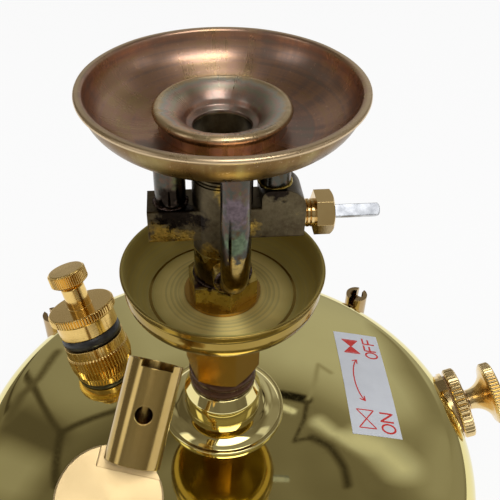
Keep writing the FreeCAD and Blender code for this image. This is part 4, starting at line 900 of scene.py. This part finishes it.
# %% Printed marks
def ribbon(mesh, points, width, closed):
    """A printed stroke: a flat ribbon along points given on the crown."""
    dense = []
    for a, b in zip(points, points[1:] + (points[:1] if closed else [])):
        count = max(1, int((Vector(b) - Vector(a)).length / 0.5))
        dense += [Vector(a).lerp(Vector(b), i / count) for i in range(count)]
    if not closed:
        dense.append(Vector(points[-1]))
    sides = []
    for i, here in enumerate(dense):
        before = dense[i - 1] if i or closed else here
        after = dense[(i + 1) % len(dense)] if i + 1 < len(dense) or closed else here
        run = (after - before).normalized()
        normal = Vector((-run.y, run.x)) * width / 2
        edges = (here + normal, here - normal)
        sides.append([mesh.verts.new(on_crown(p.x, p.y, INK_LIFT)) for p in edges])
    for (a, b), (c, d) in zip(sides, sides[1:] + (sides[:1] if closed else [])):
        mesh.faces.new((a, b, d, c))


def print_marks(name, strokes):
    """Lays the ribbons of one printed mark."""
    mesh = bmesh.new()
    for stroke in strokes:
        ribbon(mesh, *stroke)
    piece = finish_mesh(name, mesh, RED_INK, "stove", sharp=0)
    return piece


TWELFTH = pi / 12
ROUND = [(0.5 + 0.5 * cos(t * TWELFTH), 0.5 + 0.5 * sin(t * TWELFTH)) for t in range(24)]
LETTERS = {
    "O": [(ROUND, True)],
    "N": [([(0, 0), (0, 1), (1, 0), (1, 1)], False)],
    "F": [([(0, 0), (0, 1), (1, 1)], False), ([(0, 0.52), (0.85, 0.52)], False)],
}


def word(text, start, size, gap, width):
    """Letters drawn on a 0..1 square, laid to run along +Y and to stand toward -X."""
    strokes = []
    for i, character in enumerate(text):
        x, y = start[0], start[1] + i * (size[0] + gap)
        for stroke, closed in LETTERS[character]:
            strokes.append(([(x - v * size[1], y + u * size[0]) for u, v in stroke], width, closed))
    return strokes


def valve_sign(centre, half, filled):
    """Two triangles tip to tip, the sign for a valve: outlined for open, filled for shut."""
    x, y = centre
    strokes = []
    for side in (-1, 1):
        far = y + side * half * 1.25
        strokes.append(([(x, y), (x - half, far), (x + half, far)], 0.55, True))
        for k in range(1, 6) if filled else ():
            wide, level = half * k / 6, y + side * (half * 1.25 * k / 6)
            strokes.append(([(x - wide, level), (x + wide, level)], 0.75, False))
    return strokes


print_marks("word_on", word("ON", (72.2, -9.4), (4.3, 5.6), 1.3, 0.85))
print_marks("word_off", word("OFF", (72.2, 33.2), (3.9, 5.4), 1.0, 0.85))
print_marks("sign_open", valve_sign((60.4, -3.4), 3.7, False))
print_marks("sign_shut", valve_sign((60.4, 40.0), 3.7, True))
bow = []
for aside in range(-66, 67, 6):
    turn = radians(aside)
    bow.append((63.6 - 5.0 * cos(turn), 18.5 + 13.5 * sin(turn)))


def arrow_head(tip, before, size=2.6, spread=32):
    """Two short strokes back from the tip."""
    back = (Vector(before) - Vector(tip)).normalized() * size
    turns = [Matrix.Rotation(radians(side * spread), 2) for side in (-1, 1)]
    first, last = [tuple(turn @ back + Vector(tip)) for turn in turns]
    return [first, tip, last], 0.6, False


tips = [arrow_head(bow[0], bow[1]), arrow_head(bow[-1], bow[-2])]
print_marks("turn_arrow", [(bow, 0.6, False)] + tips)
print("label printed")

# %% [markdown]
# ## Camera
# The camera stands in front, above the rim of the bowl, and looks down at 39 degrees. The stove
# stands a little left of the middle of the picture, so the lens is shifted instead of the camera
# being turned, which would lean the stove over.

# %% Place the camera
camera = bpy.data.objects.new("camera", bpy.data.cameras.new("camera"))
scene.collection.objects.link(camera)
camera.location = (0, -0.1822, 0.3181)
LOOK_DOWN = radians(39.06)
camera.rotation_euler = (radians(90) - LOOK_DOWN, 0, 0)
camera.data.sensor_width = 36.0
camera.data.lens = 49.39
camera.data.shift_x = 0.055
camera.data.clip_start = 0.01
scene.camera = camera
scene.view_settings.view_transform = "Standard"
print("camera", round(camera.location.length, 3), "m from the origin")

# %% [markdown]
# ## Floor, backdrop and light
# Polished brass shows the room, so the room is half of the finish. Three soft lamps light the
# stove, and mirrors don't see them. What mirrors do see is a tent far out on all sides: dim
# cloth with softer and brighter panels, and the dark lines of a room. The floor is pale and
# keeps a soft shadow.


# %% Floor and world
def stage_object(name, mesh, material):
    thing = mesh_object(name, mesh, material)
    return thing


def seen_directly(tree):
    """1 for what is seen, straight or in a mirror or glass; 0 for light that falls on things."""
    path = tree.nodes.new("ShaderNodeLightPath")
    seen = path.outputs["Is Camera Ray"]
    for ray in ("Is Glossy Ray", "Is Transmission Ray"):
        either = tree.nodes.new("ShaderNodeMath")
        either.operation = "MAXIMUM"
        tree.links.new(seen, either.inputs[0])
        tree.links.new(path.outputs[ray], either.inputs[1])
        seen = either.outputs[0]
    return seen


PALE = (0.85, 0.85, 0.85)
GLOW_SHARE = 0.88
FLOOR_HALF = 4.0
floor_kit = Finish("pale_floor", PALE, 0.0)
matt = floor_kit.add("ShaderNodeBsdfDiffuse", {"Color": (*PALE, 1)})
glow = floor_kit.add("ShaderNodeEmission", {"Strength": 1.0})
share = floor_kit.times(seen_directly(floor_kit.tree), GLOW_SHARE)
both = floor_kit.add("ShaderNodeMixShader", {0: share, 1: matt.outputs[0], 2: glow.outputs[0]})
floor_kit.surface(both.outputs[0])
floor_mesh = bmesh.new()
bmesh.ops.create_grid(floor_mesh, x_segments=4, y_segments=4, size=FLOOR_HALF)
stage_object("studio_floor", floor_mesh, floor_kit.material)

world = bpy.data.worlds.new("studio_air")
scene.world = world
world.use_nodes = True
air_tree = world.node_tree
air = air_tree.nodes["Background"]
strength = air_tree.nodes.new("ShaderNodeMapRange")
strength.inputs["To Min"].default_value = 0.5
strength.inputs["To Max"].default_value = 1.0
air_tree.links.new(seen_directly(air_tree), strength.inputs["Value"])
air_tree.links.new(strength.outputs[0], air.inputs["Strength"])
air.inputs["Color"].default_value = (1, 1, 1, 1)
print("floor and world ready")


# %% A soft tent that only reflections see
TENT_R = 1.75
DEGREES_PER_RADIAN = degrees(1)
CLOTH_LEVEL = 0.13
WAVER_SCALE, WAVER = 5.0, 2.0  # how closely the lines waver, and how far in degrees
# Each soft panel, in degrees: middle azimuth and elevation, half width, half height, softness.
# Its level of light comes last.
PANELS = {
    "back_wall": (84, 18, 44, 24, 6, 0.37),
    "back_left": (122, 22, 10, 20, 5, 0.27),
    "back_right": (62, 26, 16, 13, 6, 0.45),
    "left_dark": (140, 38, 4.5, 8, 2, 0.09),
    "left_window": (151, 39, 6, 7, 3, 0.30),
    "high_dark": (30, 50, 10, 4, 3, 0.12),
    "shaded_ceiling": (128, 56, 22, 8, 3, 0.10),
    "right_wall": (14, 24, 22, 22, 8, 0.28),
    "front_wall": (-80, 34, 60, 20, 12, 0.30),
    "lamp_in_front": (-66, 67, 36, 13, 3, 4.2),
    "lamp_above": (84, 80, 24, 8, 3, 2.4),
    "lamp_at_left": (-157, 36, 9, 14, 3, 1.2),
    "lamp_at_right": (-8, 38, 8, 12, 3, 0.7),
}
# Each stroke, in degrees: the directions it runs through, half width, softness. Level last.
STROKES = {
    "corner_left": ([(131, 22), (134.3, 35.1), (136.8, 43)], 0.3, 0.9, 0.06),
    "ceiling_left": ([(136.8, 43), (131.1, 44.6), (122, 46.5), (108, 48)], 0.3, 1.0, 0.05),
    "ceiling_far_left": ([(136.8, 43), (142.4, 45.9), (150, 50)], 0.4, 1.0, 0.05),
    "door_edge": ([(125, -3), (131.8, 8.5), (136.7, 15.1), (138.8, 27.4)], 0.6, 1.4, 0.06),
    "rail": ([(123.6, 23.1), (130.1, 26.1), (135.1, 27.5), (140, 30.8)], 0.3, 1.2, 0.10),
    "beam": ([(70, 47.3), (63.2, 46.5)], 0.8, 0.7, 0.01),
    "sill": ([(71, 50.6), (64.5, 50.8)], 0.4, 0.9, 0.7),
    "post": ([(63.2, 46.5), (64.1, 40.4), (65.6, 35.6), (62, 36.6)], 0.1, 0.8, 0.28),
    "column": ([(58, 16), (50.4, 23.7), (41.9, 28)], 1.2, 4.5, 0.22),
    "glow_start": ([(57, 50.8), (52, 51.4), (46, 49.8), (41, 47.4)], 0.1, 2.8, 0.55),
    "glow": ([(46, 48.6), (40, 46.6), (33, 45.6)], 0.2, 5.5, 0.58),
    "bright_band": ([(35.7, 33), (31.4, 38.2), (26, 42)], 0.8, 4.0, 0.30),
    "under_glow": ([(56, 55.2), (48, 54.4), (40, 53), (31, 53.4)], 0.6, 2.4, 0.15),
    "kink": ([(63, 47), (60.5, 51.8), (58.4, 58.9), (54.9, 55.7)], 0.2, 0.7, 0.05),
    "eave": ([(54.9, 55.4), (48.8, 54.8), (40.9, 56), (34.5, 58)], 0.2, 1.4, 0.04),
}


def soft_panel(kit, azimuth, elevation, level, panel):
    """Mixes one panel over what is there already, with soft edges."""
    middle, height, half_wide, half_high, soft, value = panel
    aside = kit.sums("ABSOLUTE", kit.less(azimuth, middle))
    above = kit.sums("ABSOLUTE", kit.less(elevation, height))
    across = kit.between(aside, half_wide + soft, half_wide - soft)
    upright = kit.between(above, half_high + soft, half_high - soft)
    change = kit.times(kit.times(across, upright), kit.less(value, level))
    return kit.plus(level, change)


def soft_stroke(kit, aim, level, stroke):
    """Mixes a soft line through several directions over what is there already."""
    points, wide, soft, value = stroke
    nearest = None
    for start, end in zip(points, points[1:]):
        run = Vector((end[0] - start[0], end[1] - start[1], 0))
        offset = kit.arrows("SUBTRACT", aim, (*start, 0))
        part_way = kit.arrows("DOT_PRODUCT", offset, tuple(run / run.length_squared))
        foot = kit.scaled(run, kit.between(part_way, 0, 1))
        away = kit.arrows("LENGTH", kit.arrows("SUBTRACT", offset, foot))
        nearest = kit.sums("MINIMUM", nearest, away) if nearest else away
    share = kit.between(nearest, wide + soft, wide)
    return kit.plus(level, kit.times(share, kit.less(value, level)))


kit = Finish("tent_cloth", (0.1, 0.1, 0.1), 0.0)
way = kit.arrows("NORMALIZE", kit.place)
east, north, high = kit.add("ShaderNodeSeparateXYZ", {0: way}).outputs
azimuth = kit.times(kit.sums("ARCTAN2", north, east), DEGREES_PER_RADIAN)
elevation = kit.times(kit.sums("ARCSINE", high), DEGREES_PER_RADIAN)
fold = kit.cloud(700, 2, contrast=(0.3, 0.7))
level = kit.plus(kit.times(fold, 0.07), CLOTH_LEVEL)
for panel in PANELS.values():
    level = soft_panel(kit, azimuth, elevation, level, panel)
aim = kit.add("ShaderNodeCombineXYZ", {0: azimuth, 1: elevation}).outputs[0]
waves = {"Vector": way, "Scale": WAVER_SCALE, "Detail": 0.0}
waver = kit.add("ShaderNodeTexNoise", waves).outputs[1]
waver = kit.arrows("SUBTRACT", waver, (0.5, 0.5, 0.5))
aim = kit.arrows("ADD", aim, kit.arrows("MULTIPLY", waver, (WAVER, WAVER, 0)))
for stroke in STROKES.values():
    level = soft_stroke(kit, aim, level, stroke)
warmth = [(0.05, (1.0, 0.84, 0.6)), (0.22, (1.0, 0.93, 0.8)), (0.42, (1.0, 1.0, 1.0))]
cloth = kit.ramp(level, warmth)
kit.surface(kit.add("ShaderNodeEmission", {0: cloth, 1: level}).outputs[0])
tent_mesh = bmesh.new()
bmesh.ops.create_uvsphere(tent_mesh, u_segments=96, v_segments=48, radius=TENT_R)
below = [vert for vert in tent_mesh.verts if vert.co.z < -0.01]
bmesh.ops.delete(tent_mesh, geom=below, context="VERTS")
tent = stage_object("studio_tent", tent_mesh, kit.material)
tent.visible_camera = False
tent.visible_diffuse = False
tent.visible_transmission = False
tent.visible_shadow = False
print("tent of", len(PANELS), "soft panels and", len(STROKES), "lines,", TENT_R, "m out")


# %% Lamps
def soft_lamp(name, place, target, size, power):
    lamp = bpy.data.objects.new(name, bpy.data.lights.new(name, "AREA"))
    lamp.data.shape = "RECTANGLE"
    lamp.data.size, lamp.data.size_y = size
    lamp.data.energy = power
    lamp.location = place
    aim = Vector(target) - Vector(place)
    lamp.rotation_euler = aim.to_track_quat("-Z", "Y").to_euler()
    lamp.visible_glossy = False
    scene.collection.objects.link(lamp)


soft_lamp("lamp_overhead", (0.15, -0.55, 1.35), (0, 0, 0.12), (1.3, 1.0), 8.0)
soft_lamp("lamp_left", (-1.2, -0.5, 0.9), (0, 0, 0.12), (0.35, 0.8), 3.0)
soft_lamp("lamp_right", (1.25, -0.15, 0.95), (0, 0, 0.12), (0.3, 0.7), 2.5)
print("three soft lamps")
